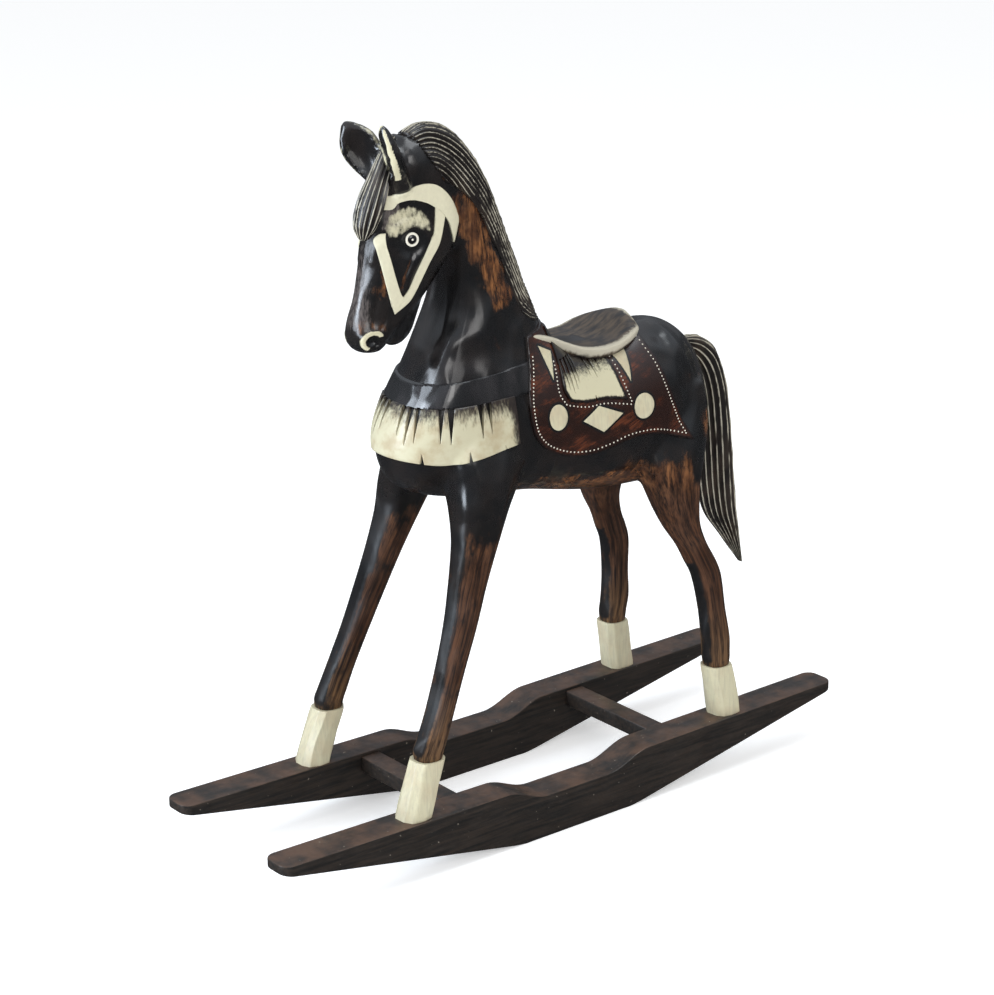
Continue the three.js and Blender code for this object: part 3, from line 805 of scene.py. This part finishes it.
def inset(outline, depth, spacing, keep):
    """Points spaced along a line inside the outline, further apart where it runs along x."""
    line = smoothed(outline, 12)
    ahead = np.roll(line, -1, 0) - np.roll(line, 1, 0)
    ahead /= np.maximum(np.linalg.norm(ahead, axis=1), 1e-9)[:, None]
    inward = np.column_stack([ahead[:, 1], -ahead[:, 0]])
    if (outline_distance(line, line[:1] + inward[:1] * 2) > 0).any():
        inward = -inward
    moved = line + inward * depth
    moved = moved[np.abs(outline_distance(line, moved) + depth) < 0.25 * depth]
    moved = moved[keep(moved[:, 0], moved[:, 1])]
    run = run_along(moved * DOTS["stretch"])
    return [[np.interp(s, run, moved[:, 0]), np.interp(s, run, moved[:, 1])] for s in np.arange(0, run[-1], spacing)]


def domes(name, places, radius, height):
    """Low round beads of paint, one at each place, facing along its normal."""
    points, faces = [], []
    sides = 8
    rings = [(1.0, -0.5), (0.97, 0.25), (0.7, 0.75), (0.3, 0.98)]
    for place, normal in places:
        across = normal.orthogonal().normalized()
        along = normal.cross(across)
        start = len(points)
        for size, lift in rings:
            for i in range(sides):
                angle = i / sides * 2 * math.pi
                p = place + (across * math.cos(angle) + along * math.sin(angle)) * (size * radius * MM)
                points.append(p + normal * (lift * height * MM))
        points.append(place + normal * (height * MM))
        for r in range(len(rings) - 1):
            a, b = start + r * sides, start + (r + 1) * sides
            faces += [(a + i, a + (i + 1) % sides, b + (i + 1) % sides, b + i) for i in range(sides)]
        faces += [(b + i, b + (i + 1) % sides, b + sides) for i in range(sides)]
        faces.append(tuple(start + sides - 1 - i for i in range(sides)))
    return smooth_shaded(mesh_object(name, np.array([list(p) for p in points]) / MM, faces))


cloth_tree = surface([cloth, flap])
rows = inset(CLOTH_OUTLINE, DOTS["depth"], DOTS["spacing"], lambda x, z: z < 552 - 0.18 * np.abs(x + 75))
rows += inset(FLAP_DOTS, 0.5, DOTS["spacing"], lambda x, z: z < 524)
places = [on_side(cloth_tree, x, z, side) for side in SIDES.values() for x, z in rows]
dots = domes("cloth_dots", [found for found in places if found[0] is not None], DOTS["radius"], DOTS["height"])

cloth_shapes = [smoothed(DIAMOND, 6)] + [np.array(d, float) for d in DROPS] + [ellipse_outline(*o) for o in OVALS]
painted = joined("painted_shapes", [
    raised("painted_shape", shape, RELIEF["shapes"], smooth=False) for shape in cloth_shapes])

skin_tree = surface([horse])
eye_parts = {"eyeballs": [], "eye_rings": [], "eye_dots": []}
for side in SIDES.values():
    place, normal = on_side(skin_tree, EYE["x"], EYE["z"], side)
    turn = normal.to_track_quat("Z", "Y").to_euler()
    for kind, made in eye_parts.items():
        deselect()
        if kind == "eye_rings":
            bpy.ops.mesh.primitive_torus_add(
                major_radius=EYE_RING["major_radius"], minor_radius=EYE_RING["minor_radius"], major_segments=48,
                minor_segments=12, location=place + normal * EYE_RING["lift"], rotation=turn)
        else:
            radius, lift, flat = EYE_BALLS[kind]
            bpy.ops.mesh.primitive_uv_sphere_add(
                segments=32, ring_count=16, radius=radius, location=place + normal * lift, rotation=turn)
            bpy.context.object.scale = (1, 1, flat)
        bpy.ops.object.transform_apply(location=True, rotation=True, scale=True)
        made.append(bpy.context.object)
eyes = {kind: smooth_shaded(joined(kind, made)) for kind, made in eye_parts.items()}


# Painted and worn areas, and a painted highlight, kept as values on the points
def leg_axis(points):
    """Each point's place from the middle of the leg it is nearest, and that leg's half sizes there."""
    front = points[:, 0] > FRONT_LEGS_START
    found = np.zeros((len(points), 4))
    for pair, chosen in (("front", front), ("hind", ~front)):
        rows = refined(LEGS[pair], 4)[::-1]
        for column, source in enumerate((0, 1, 3, 4)):
            found[chosen, column] = np.interp(points[chosen, 2], rows[:, 2], rows[:, source])
    return found


def mark_wood(obj):
    """Where brown wood, cream paint and greyish-brown brushing with a painted highlight show on the black lacquer,
    and the run of the grain.
    """
    points = points_of(obj)
    x, y, z = points.T
    flat = points[:, [0, 2]]
    axis = leg_axis(points)
    off_x, off_y = x - axis[:, 0], np.abs(y) - axis[:, 1]
    edge = np.clip(np.abs(off_x) / axis[:, 2], 0, 1.2)
    on_leg = fade(z - 300, 75)
    brown = [
        on_leg * np.where(x > FRONT_LEGS_START, 0.82, 1) * (1 - 0.8 * fade(0.96 - edge, 0.16)),
        0.86 * fade(line_distance(AMBER_RUN, flat) - 4, 34),
        0.8 * fade(line_distance(CHEEK_LINE, flat), 4.5),
        0.5 * fade(line_distance(MUZZLE_LINE, flat), 22),
        0.9 * fade(z - 342, 52) * (x < 60) * (x > -220),
    ] + [strength * fade(np.hypot(x - at_x, z - at_z), radius) for at_x, at_z, radius, strength in BROWN_SPOTS]
    along, up = face_frame(points)
    socket = np.hypot(along / 19.5, up / 16.5)
    on_face = (np.abs(y) > 12) & (x > FACE_START)
    patch = 0.6 * np.where(on_face, fade(outline_distance(BROW_PATCH, flat) + 4, 9) * fade(1.0 - socket, 0.12), 0)
    lips = nostril_reach(points)
    rising = (z - NOSTRIL["z"]) > -0.9 * (x - NOSTRIL["x"]) - 4
    crescent = 1.1 * fade(np.abs(lips - 1.42) - 0.1, 0.4) * rising
    low = z < 400
    marks = {
        "brown": np.clip(np.maximum.reduce(brown), 0, 1),
        "grain": np.column_stack([np.where(low, off_x, x), np.where(low, off_y, y), z]) * MM,
        "on_leg": on_leg,
        "cream": np.clip(np.maximum.reduce([patch, crescent, 1.1 * ear_rims(points)]), 0, 1),
        "hollow": np.maximum(fade(lips - 0.75, 0.4), np.where(on_face, 0.9 * fade(socket - 0.94, 0.14), 0)),
        # Greyish-brown on the nose ridge and temple: partly dry-brushed paint, partly a painted highlight.
        "grey_brush_and_highlight": np.maximum(0.62 * fade(line_distance(NOSE_BRIDGE, flat) - 6, 26),
                           0.7 * fade(outline_distance(TEMPLE, flat), 6)),
    }
    for name, values in marks.items():
        attribute(obj, name, values)


def side_places(obj):
    return points_of(obj)[:, [0, 2]]


mark_wood(horse)
attribute(cloth, "round_marks", np.minimum.reduce([outline_distance(s, side_places(cloth)) for s in cloth_shapes]))
for piece, outline in ((cloth, CLOTH_OUTLINE), (flap, FLAP_OUTLINE)):
    attribute(piece, "border", -outline_distance(smoothed(outline), side_places(piece)))
x, y, z = points_of(seat).T
seat_rows = refined(SEAT, 8)[::-1]
half, top = (np.interp(x, seat_rows[:, 0], seat_rows[:, column]) for column in (3, 1))
from_rim = np.hypot(half - np.abs(y), top - 7 - z)
ends = np.minimum(np.abs(x - SEAT[0][0]), np.abs(x - SEAT[-1][0]))
attribute(seat, "rim", fade(np.minimum(from_rim, ends) - 2, 11))


class Tree:
    """Short ways to add nodes to a material or a group. An input is a value, or another node's output."""

    def __init__(self, tree):
        self.tree = tree

    def node(self, kind, inputs=None, **settings):
        made = self.tree.nodes.new(kind if kind.startswith("NodeGroup") else "ShaderNode" + kind)
        for name, value in settings.items():
            setattr(made, name, value)
        for key, value in (inputs or {}).items():
            if isinstance(value, bpy.types.NodeSocket):
                self.tree.links.new(value, made.inputs[key])
            else:
                made.inputs[key].default_value = value
        return made

    def math(self, operation, a, b=0.0):
        return self.node("Math", {0: a, 1: b}, operation=operation).outputs[0]

    def plus(self, a, b):
        return self.math("ADD", a, b)

    def minus(self, a, b):
        return self.math("SUBTRACT", a, b)

    def times(self, a, b):
        return self.math("MULTIPLY", a, b)

    def mix(self, factor, a, b):
        return self.node("Mix", {0: factor, 6: a, 7: b}, data_type="RGBA").outputs[2]

    def noise(self, vector, scale, detail=3.0, roughness=0.55):
        return self.node("TexNoise", {"Vector": vector, "Scale": scale, "Detail": detail,
                                      "Roughness": roughness}).outputs[0]

    def ramp(self, value, low, high, start=0.0, end=1.0):
        return self.node("MapRange", {"Value": value, "From Min": low, "From Max": high, "To Min": start,
                                      "To Max": end}, interpolation_type="SMOOTHSTEP").outputs[0]

    def brush(self, vector, cover, soft=0.09):
        return self.group(BRUSH, {"Vector": vector, "Cover": cover, "Soft": soft})

    def stretched(self, vector, x, y, z):
        return self.node("VectorMath", {0: vector, 1: (x, y, z)}, operation="MULTIPLY").outputs[0]

    def value(self, name):
        return self.node("Attribute", attribute_name=name).outputs["Fac"]

    def vector(self, name):
        return self.node("Attribute", attribute_name=name).outputs["Vector"]

    def place(self):
        return self.node("TexCoord").outputs["Object"]

    def group(self, shared, inputs):
        return self.node("Group", inputs, node_tree=shared).outputs[0]

    def height(self, vector):
        return self.node("SeparateXYZ", {0: vector}).outputs[2]


def shared_group(name, inputs, output):
    """A node group whose sockets are numbers, but for those named Vector or Normal."""
    group = bpy.data.node_groups.new(name, "ShaderNodeTree")
    for label in inputs + [output]:
        kind = "NodeSocketVector" if label in ("Vector", "Normal") else "NodeSocketFloat"
        group.interface.new_socket(label, in_out="OUTPUT" if label == output else "INPUT", socket_type=kind)
    tree = Tree(group)
    return group, tree, tree.node("NodeGroupInput").outputs, tree.node("NodeGroupOutput")


def grain_group():
    """Streaks of wood grain along Z of the vector given, from 0 in the dark streaks to 1 in the pale."""
    group, tree, given, out = shared_group("wood_grain", ["Vector"], "Grain")
    swirl = tree.node("TexNoise", {"Vector": given["Vector"], "Scale": 14.0}).outputs[1]
    swirl = tree.stretched(swirl, 0.006, 0.006, 0.0)
    bent = tree.node("VectorMath", {0: given["Vector"], 1: swirl}, operation="ADD").outputs[0]
    broad = tree.noise(tree.stretched(bent, 230, 230, 8), 1.0, 3.0)
    fine = tree.noise(tree.stretched(bent, 800, 800, 20), 1.0, 2.0)
    both = tree.plus(tree.times(broad, 0.6), tree.times(fine, 0.4))
    group.links.new(tree.ramp(both, 0.36, 0.64), out.inputs[0])
    return group


def brush_group():
    """Where dry-brushed paint takes: broken up by bristle streaks as its cover thins."""
    group, tree, given, out = shared_group("dry_brush", ["Vector", "Cover", "Soft"], "Paint")
    streaks = tree.noise(tree.stretched(given["Vector"], 420, 420, 70), 1.0, 3.0, 0.65)
    blotches = tree.noise(given["Vector"], 90.0, 3.0)
    broken = tree.plus(tree.times(streaks, 0.7), tree.times(blotches, 0.3))
    lifted = tree.plus(given["Cover"], tree.times(tree.minus(broken, 0.5), 1.5))
    low, high = tree.minus(0.5, given["Soft"]), tree.plus(0.5, given["Soft"])
    group.links.new(tree.ramp(lifted, low, high), out.inputs[0])
    return group


def carving_group():
    """The gently faceted surface that a chisel and scraper leave, as a bump for the normal."""
    group, tree, given, out = shared_group("chisel_marks", ["Vector", "Depth"], "Normal")
    cells = tree.node("TexVoronoi", {"Vector": tree.stretched(given["Vector"], 1, 1, 0.5), "Scale": 19.0,
                                     "Smoothness": 0.2}, feature="SMOOTH_F1").outputs["Distance"]
    waves = tree.noise(given["Vector"], 13.0, 1.0)
    height = tree.plus(tree.times(cells, 0.9), waves)
    bump = tree.node("Bump", {"Strength": 1.0, "Distance": given["Depth"], "Height": height})
    group.links.new(bump.outputs[0], out.inputs[0])
    return group


GRAIN, BRUSH, CARVING = grain_group(), brush_group(), carving_group()
BLACK = (0.008, 0.008, 0.0085, 1)
SOOT = (0.014, 0.011, 0.010, 1)
UMBER = (0.014, 0.007, 0.005, 1)
AMBER = (0.095, 0.036, 0.014, 1)
BRIGHT_AMBER = (0.270, 0.110, 0.038, 1)
RED_BROWN = (0.090, 0.036, 0.016, 1)
GOLD_BROWN = (0.170, 0.090, 0.038, 1)
CREAM = (0.56, 0.52, 0.355, 1)
PALE = (0.50, 0.46, 0.36, 1)
# Greyish-brown of the nose ridge and temple: partly dry-brushed paint, partly a painted highlight.
GREY_BRUSH_AND_HIGHLIGHT = (0.16, 0.135, 0.125, 1)


def material(name, build):
    made = bpy.data.materials.new(name)
    made.use_nodes = True
    made.node_tree.nodes.clear()
    tree = Tree(made.node_tree)
    shader = tree.node("BsdfPrincipled", build(tree))
    tree.tree.links.new(shader.outputs[0], tree.node("OutputMaterial").inputs[0])
    return made


def surface_inputs(tree, colour, roughness, place, depth, **more):
    """Inputs of the shader, with chisel marks of the depth given in metres. Underscores stand for spaces."""
    inputs = {"Base Color": colour, "Roughness": roughness,
              "Normal": tree.group(CARVING, {"Vector": place, "Depth": depth})}
    return inputs | {name.replace("_", " "): value for name, value in more.items()}


def lacquered_wood(tree):
    place, on_leg = tree.place(), tree.value("on_leg")
    grain = tree.group(GRAIN, {"Vector": tree.vector("grain")})
    leg_brown = tree.mix(tree.ramp(tree.height(place), 0.26, 0.15), RED_BROWN, GOLD_BROWN)
    glow = tree.ramp(tree.noise(tree.stretched(place, 1, 1, 0.6), 60.0, 3.0), 0.4, 0.62)
    amber = tree.mix(glow, AMBER, BRIGHT_AMBER)
    wood = tree.mix(grain, UMBER, tree.mix(tree.times(on_leg, 0.9), amber, leg_brown))
    patchy = tree.noise(tree.stretched(place, 1, 1, 0.7), 46.0, 4.0, 0.6)
    shows = tree.ramp(tree.plus(tree.value("brown"), tree.times(tree.minus(patchy, 0.5), 1.9)), 0.33, 0.8)
    black = tree.mix(tree.ramp(tree.noise(place, 30.0), 0.35, 0.7), BLACK, SOOT)
    colour = tree.mix(shows, black, wood)
    # Painted highlight mixed with dry-brushed greyish-brown on the nose ridge and temple.
    grey_brush_and_highlight = tree.brush(place, tree.minus(tree.value("grey_brush_and_highlight"), 0.12), 0.3)
    colour = tree.mix(tree.times(grey_brush_and_highlight, 0.7), colour, GREY_BRUSH_AND_HIGHLIGHT)
    colour = tree.mix(tree.value("hollow"), colour, BLACK)
    paint = tree.brush(tree.stretched(place, 0.5, 0.5, 1.6), tree.value("cream"), 0.28)
    paint = tree.times(paint, tree.ramp(tree.value("cream"), 0.02, 0.4))
    rough = tree.ramp(tree.noise(place, 60.0), 0.3, 0.7, 0.17, 0.27)
    rough = tree.plus(tree.plus(rough, tree.times(paint, 0.25)), tree.times(on_leg, 0.28))
    return surface_inputs(tree, tree.mix(paint, colour, CREAM), rough, place, 0.020, Coat_Roughness=0.12,
                          Coat_Weight=tree.ramp(on_leg, 0.0, 0.8, 0.4, 0.05),
                          Specular_IOR_Level=tree.ramp(on_leg, 0.0, 0.8, 0.5, 0.3))


def cloth_wood(tree):
    place = tree.place()
    slanted = tree.node("VectorRotate", {"Vector": place, "Angle": 1.2}, rotation_type="Y_AXIS").outputs[0]
    grain = tree.group(GRAIN, {"Vector": slanted})
    blotch = tree.ramp(tree.noise(tree.stretched(place, 0.6, 1, 1), 34.0, 5.0, 0.62), 0.46, 0.66)
    red = tree.mix(grain, (0.030, 0.008, 0.004, 1), (0.120, 0.030, 0.010, 1))
    wood = tree.mix(blotch, (0.020, 0.0075, 0.005, 1), red)
    ring = tree.ramp(tree.math("ABSOLUTE", tree.minus(tree.value("round_marks"), 1.2)), 2.6, 1.2)
    colour = tree.mix(ring, wood, BLACK)
    edge = tree.ramp(tree.value("border"), 3.2, 1.2)
    colour = tree.mix(edge, colour, (0.012, 0.006, 0.005, 1))
    return surface_inputs(tree, colour, 0.27, place, 0.002, Coat_Weight=0.4, Coat_Roughness=0.12)


def band_lacquer(tree):
    upright = tree.stretched(tree.place(), 1, 1, 0.25)
    colour = tree.mix(tree.ramp(tree.noise(upright, 40.0), 0.4, 0.7), BLACK, (0.022, 0.020, 0.021, 1))
    return surface_inputs(tree, colour, 0.16, upright, 0.014, Coat_Weight=0.6, Coat_Roughness=0.08)


def flap_wood(tree):
    place = tree.place()
    level = tree.minus(tree.height(place), FOOT_LEVEL * MM)
    cover = tree.times(tree.ramp(level, 0.522, 0.486), tree.ramp(tree.value("border"), 1.0, 6.0))
    paint = tree.brush(place, tree.minus(cover, 0.05), 0.3)
    colour = tree.mix(paint, tree.mix(tree.noise(place, 60.0), BLACK, UMBER), CREAM)
    return surface_inputs(tree, colour, tree.ramp(paint, 0.0, 1.0, 0.28, 0.5), place, 0.0015, Coat_Weight=0.2)


def fringe_paint(tree):
    place = tree.place()
    parts = tree.node("SeparateXYZ", {0: place}).outputs
    level = tree.minus(parts[2], FOOT_LEVEL * MM)
    cover = tree.times(tree.ramp(level, 0.508, 0.454), tree.ramp(parts[0], 0.058, 0.080))
    paint = tree.brush(place, cover, 0.34)
    aged = tree.ramp(tree.noise(place, 45.0, 4.0), 0.3, 0.62)
    stain = tree.mix(aged, (0.42, 0.35, 0.22, 1), (0.52, 0.485, 0.335, 1))
    colour = tree.mix(paint, tree.mix(tree.noise(place, 70.0), BLACK, (0.045, 0.032, 0.026, 1)), stain)
    return surface_inputs(tree, colour, tree.ramp(paint, 0.0, 1.0, 0.28, 0.48), place, 0.0018, Coat_Weight=0.2)


def cream_paint(tree):
    place = tree.place()
    aged = tree.mix(tree.ramp(tree.noise(place, 38.0, 4.0), 0.3, 0.65), (0.52, 0.45, 0.30, 1), CREAM)
    strokes = tree.ramp(tree.noise(tree.stretched(place, 330, 330, 28), 1.0, 2.0), 0.4, 0.7)
    aged = tree.mix(tree.times(strokes, 0.35), aged, (0.36, 0.33, 0.25, 1))
    specks = tree.ramp(tree.noise(place, 900.0, 2.0), 0.68, 0.74)
    colour = tree.mix(tree.times(specks, 0.5), aged, (0.25, 0.19, 0.11, 1))
    return surface_inputs(tree, colour, 0.46, place, 0.0012, Coat_Weight=0.1)


def hair_paint(tree):
    place, ridge = tree.place(), tree.value("ridge")
    rubbed = tree.noise(tree.stretched(place, 1, 1, 0.5), 34.0, 3.0)
    cover = tree.plus(tree.times(ridge, 1.1), tree.times(rubbed, 0.9))
    paint = tree.brush(place, tree.minus(cover, 0.72), 0.2)
    paint = tree.times(paint, tree.ramp(ridge, 0.5, 0.85))
    worn = tree.ramp(tree.noise(tree.stretched(place, 1, 1, 0.4), 55.0, 2.0), 0.3, 0.52)
    paint = tree.times(paint, worn)
    base = tree.mix(tree.ramp(rubbed, 0.5, 0.7), SOOT, (0.034, 0.024, 0.018, 1))
    return {"Base Color": tree.mix(tree.times(paint, 0.85), base, PALE),
            "Roughness": tree.ramp(paint, 0.0, 1.0, 0.3, 0.5), "Coat Weight": 0.25, "Coat Roughness": 0.2}


def seat_paint(tree):
    place = tree.place()
    paint = tree.brush(tree.stretched(place, 0.6, 0.6, 1), tree.value("rim"), 0.35)
    streaks = tree.ramp(tree.noise(tree.stretched(place, 1, 3, 1), 40.0, 4.0), 0.35, 0.65)
    colour = tree.mix(paint, tree.mix(streaks, SOOT, (0.080, 0.056, 0.036, 1)), PALE)
    return surface_inputs(tree, colour, tree.ramp(paint, 0.0, 1.0, 0.38, 0.5), place, 0.002, Coat_Weight=0.1,
                          Coat_Roughness=0.2)


def rocker_wood(tree):
    place = tree.place()
    turned = tree.node("VectorRotate", {"Vector": place, "Angle": math.pi / 2}, rotation_type="Y_AXIS").outputs[0]
    grain = tree.group(GRAIN, {"Vector": turned})
    wood = tree.mix(grain, (0.012, 0.011, 0.010, 1), (0.034, 0.024, 0.018, 1))
    facing = tree.height(tree.node("NewGeometry").outputs["Normal"])
    top = tree.times(tree.ramp(facing, 0.3, 0.9), tree.ramp(tree.noise(place, 26.0, 4.0), 0.32, 0.68))
    colour = tree.mix(tree.times(top, 0.8), wood, (0.115, 0.062, 0.038, 1))
    specks = tree.ramp(tree.noise(place, 190.0, 2.0, 0.4), 0.735, 0.76)
    colour = tree.mix(tree.times(specks, 0.6), colour, (0.35, 0.30, 0.24, 1))
    rough = tree.ramp(tree.noise(place, 80.0), 0.3, 0.7, 0.36, 0.52)
    return surface_inputs(tree, colour, rough, place, 0.0012)


def plain(colour, roughness, coat=0.0):
    return lambda tree: {
        "Base Color": tree.mix(tree.noise(tree.place(), 200.0), colour, tuple(0.8 * c for c in colour[:3]) + (1,)),
        "Roughness": roughness, "Coat Weight": coat}


finishes = {
    "lacquered_wood": (lacquered_wood, "dark_lacquer", [horse]),
    "band_lacquer": (band_lacquer, "dark_lacquer", [band]),
    "cloth_wood": (cloth_wood, "dark_lacquer", [cloth]),
    "flap_paint": (flap_wood, "cream_paint", [flap]),
    "fringe_paint": (fringe_paint, "cream_paint", [fringe]),
    "cream_paint": (cream_paint, "cream_paint", feet + [painted]),
    "bridle_paint": (plain((0.66, 0.62, 0.45, 1), 0.42, 0.1), "cream_paint", bridle),
    "hair_paint": (hair_paint, "dark_lacquer", [mane, forelock, tail]),
    "seat_paint": (seat_paint, "dark_lacquer", [seat]),
    "rocker_wood": (rocker_wood, "rocker_wood", rockers + bars),
    "dot_paint": (plain((0.82, 0.78, 0.66, 1), 0.4), "cream_paint", [dots, eyes["eye_rings"], eyes["eye_dots"]]),
    "eye_black": (plain((0.008, 0.008, 0.009, 1), 0.12, 0.6), "dark_lacquer", [eyes["eyeballs"]]),
}
for name, (build, slot, pieces) in finishes.items():
    made = material(name, build)
    for piece in pieces:
        piece.data.materials.clear()
        piece.data.materials.append(made)
        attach(piece, "root")
for node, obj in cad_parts.items():
    kind = "rocker_wood" if "rocker" in node or "crossbar" in node else "lacquered_wood"
    obj.data.materials.clear()
    obj.data.materials.append(bpy.data.materials[kind])
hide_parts("horse_body", "front_left_leg", "front_right_leg", "hind_left_leg", "hind_right_leg")
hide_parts("tail")
for piece, node in zip(rockers + bars, ("left_rocker", "right_rocker", "front_crossbar", "rear_crossbar")):
    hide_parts(node)


# The studio: a pale floor, soft light and the camera at the photo's angle
def area_light(name, place, aim, size, power, colour):
    light = bpy.data.lights.new(name, "AREA")
    light.shape = "RECTANGLE"
    light.size, light.size_y = size
    light.energy = power
    light.color = colour
    obj = linked(name, light)
    obj.location = place
    obj.rotation_euler = (Vector(aim) - Vector(place)).to_track_quat("-Z", "Y").to_euler()


deselect()
bpy.ops.mesh.primitive_plane_add(size=30, location=(0, 0, 0))
floor = bpy.context.object
floor.name = "studio_floor"
floor.data.materials.append(material("studio_white", lambda tree: {
    "Base Color": (0.95, 0.95, 0.95, 1), "Roughness": 0.9,
    "Emission Color": (1, 1, 1, 1), "Emission Strength": 0.42}))
floor.visible_glossy = False


def studio_world():
    """White to the camera, grey as fill light, and a dark room with a bright upper side where lacquer mirrors it."""
    world = bpy.data.worlds.new("studio")
    world.use_nodes = True
    world.node_tree.nodes.clear()
    tree = Tree(world.node_tree)
    rays = tree.node("LightPath").outputs
    height = tree.height(tree.node("TexCoord").outputs["Generated"])
    room = tree.mix(tree.ramp(height, -0.1, 0.9), (0.06, 0.063, 0.068, 1), (0.62, 0.67, 0.74, 1))
    seen = tree.mix(rays["Is Glossy Ray"], (0.54, 0.55, 0.56, 1), room)
    colour = tree.mix(rays["Is Camera Ray"], seen, (1, 1, 1, 1))
    sky = tree.node("Background", {0: colour, 1: 1.0})
    tree.tree.links.new(sky.outputs[0], tree.node("OutputWorld").inputs[0])
    return world


bpy.context.scene.world = studio_world()
area_light("window", (1.2, 3.2, 2.6), (0, 0, 0.5), (2.2, 1.5), 44, (1, 0.98, 0.96))
area_light("side_window", (3.2, -0.9, 1.5), (0, 0, 0.5), (1.3, 2.4), 120, (0.80, 0.89, 1))
area_light("overhead", (-0.5, 0.5, 3.2), (0, 0, 0.5), (1.8, 1.2), 30, (0.92, 0.97, 1))

AIM = Vector((0.01728, -0.01386, 0.40878))
azimuth, elevation, roll, distance = math.radians(141.2872), math.radians(18.7933), math.radians(-0.2216), 3.4893
level, rise = math.cos(elevation), math.sin(elevation)
back = Vector((math.sin(azimuth) * level, -math.cos(azimuth) * level, rise))
right = Vector((math.cos(azimuth), math.sin(azimuth), 0))
up = back.cross(right)
right, up = right * math.cos(roll) + up * math.sin(roll), up * math.cos(roll) - right * math.sin(roll)
camera = linked("camera", bpy.data.cameras.new("camera"))
camera.rotation_mode = "QUATERNION"
camera.location = AIM + back * distance
camera.rotation_quaternion = Matrix((right, up, back)).transposed().to_quaternion()
camera.data.lens = 99.334
camera.data.sensor_width = 36
bpy.context.scene.camera = camera
bpy.context.scene.view_settings.view_transform = "Standard"
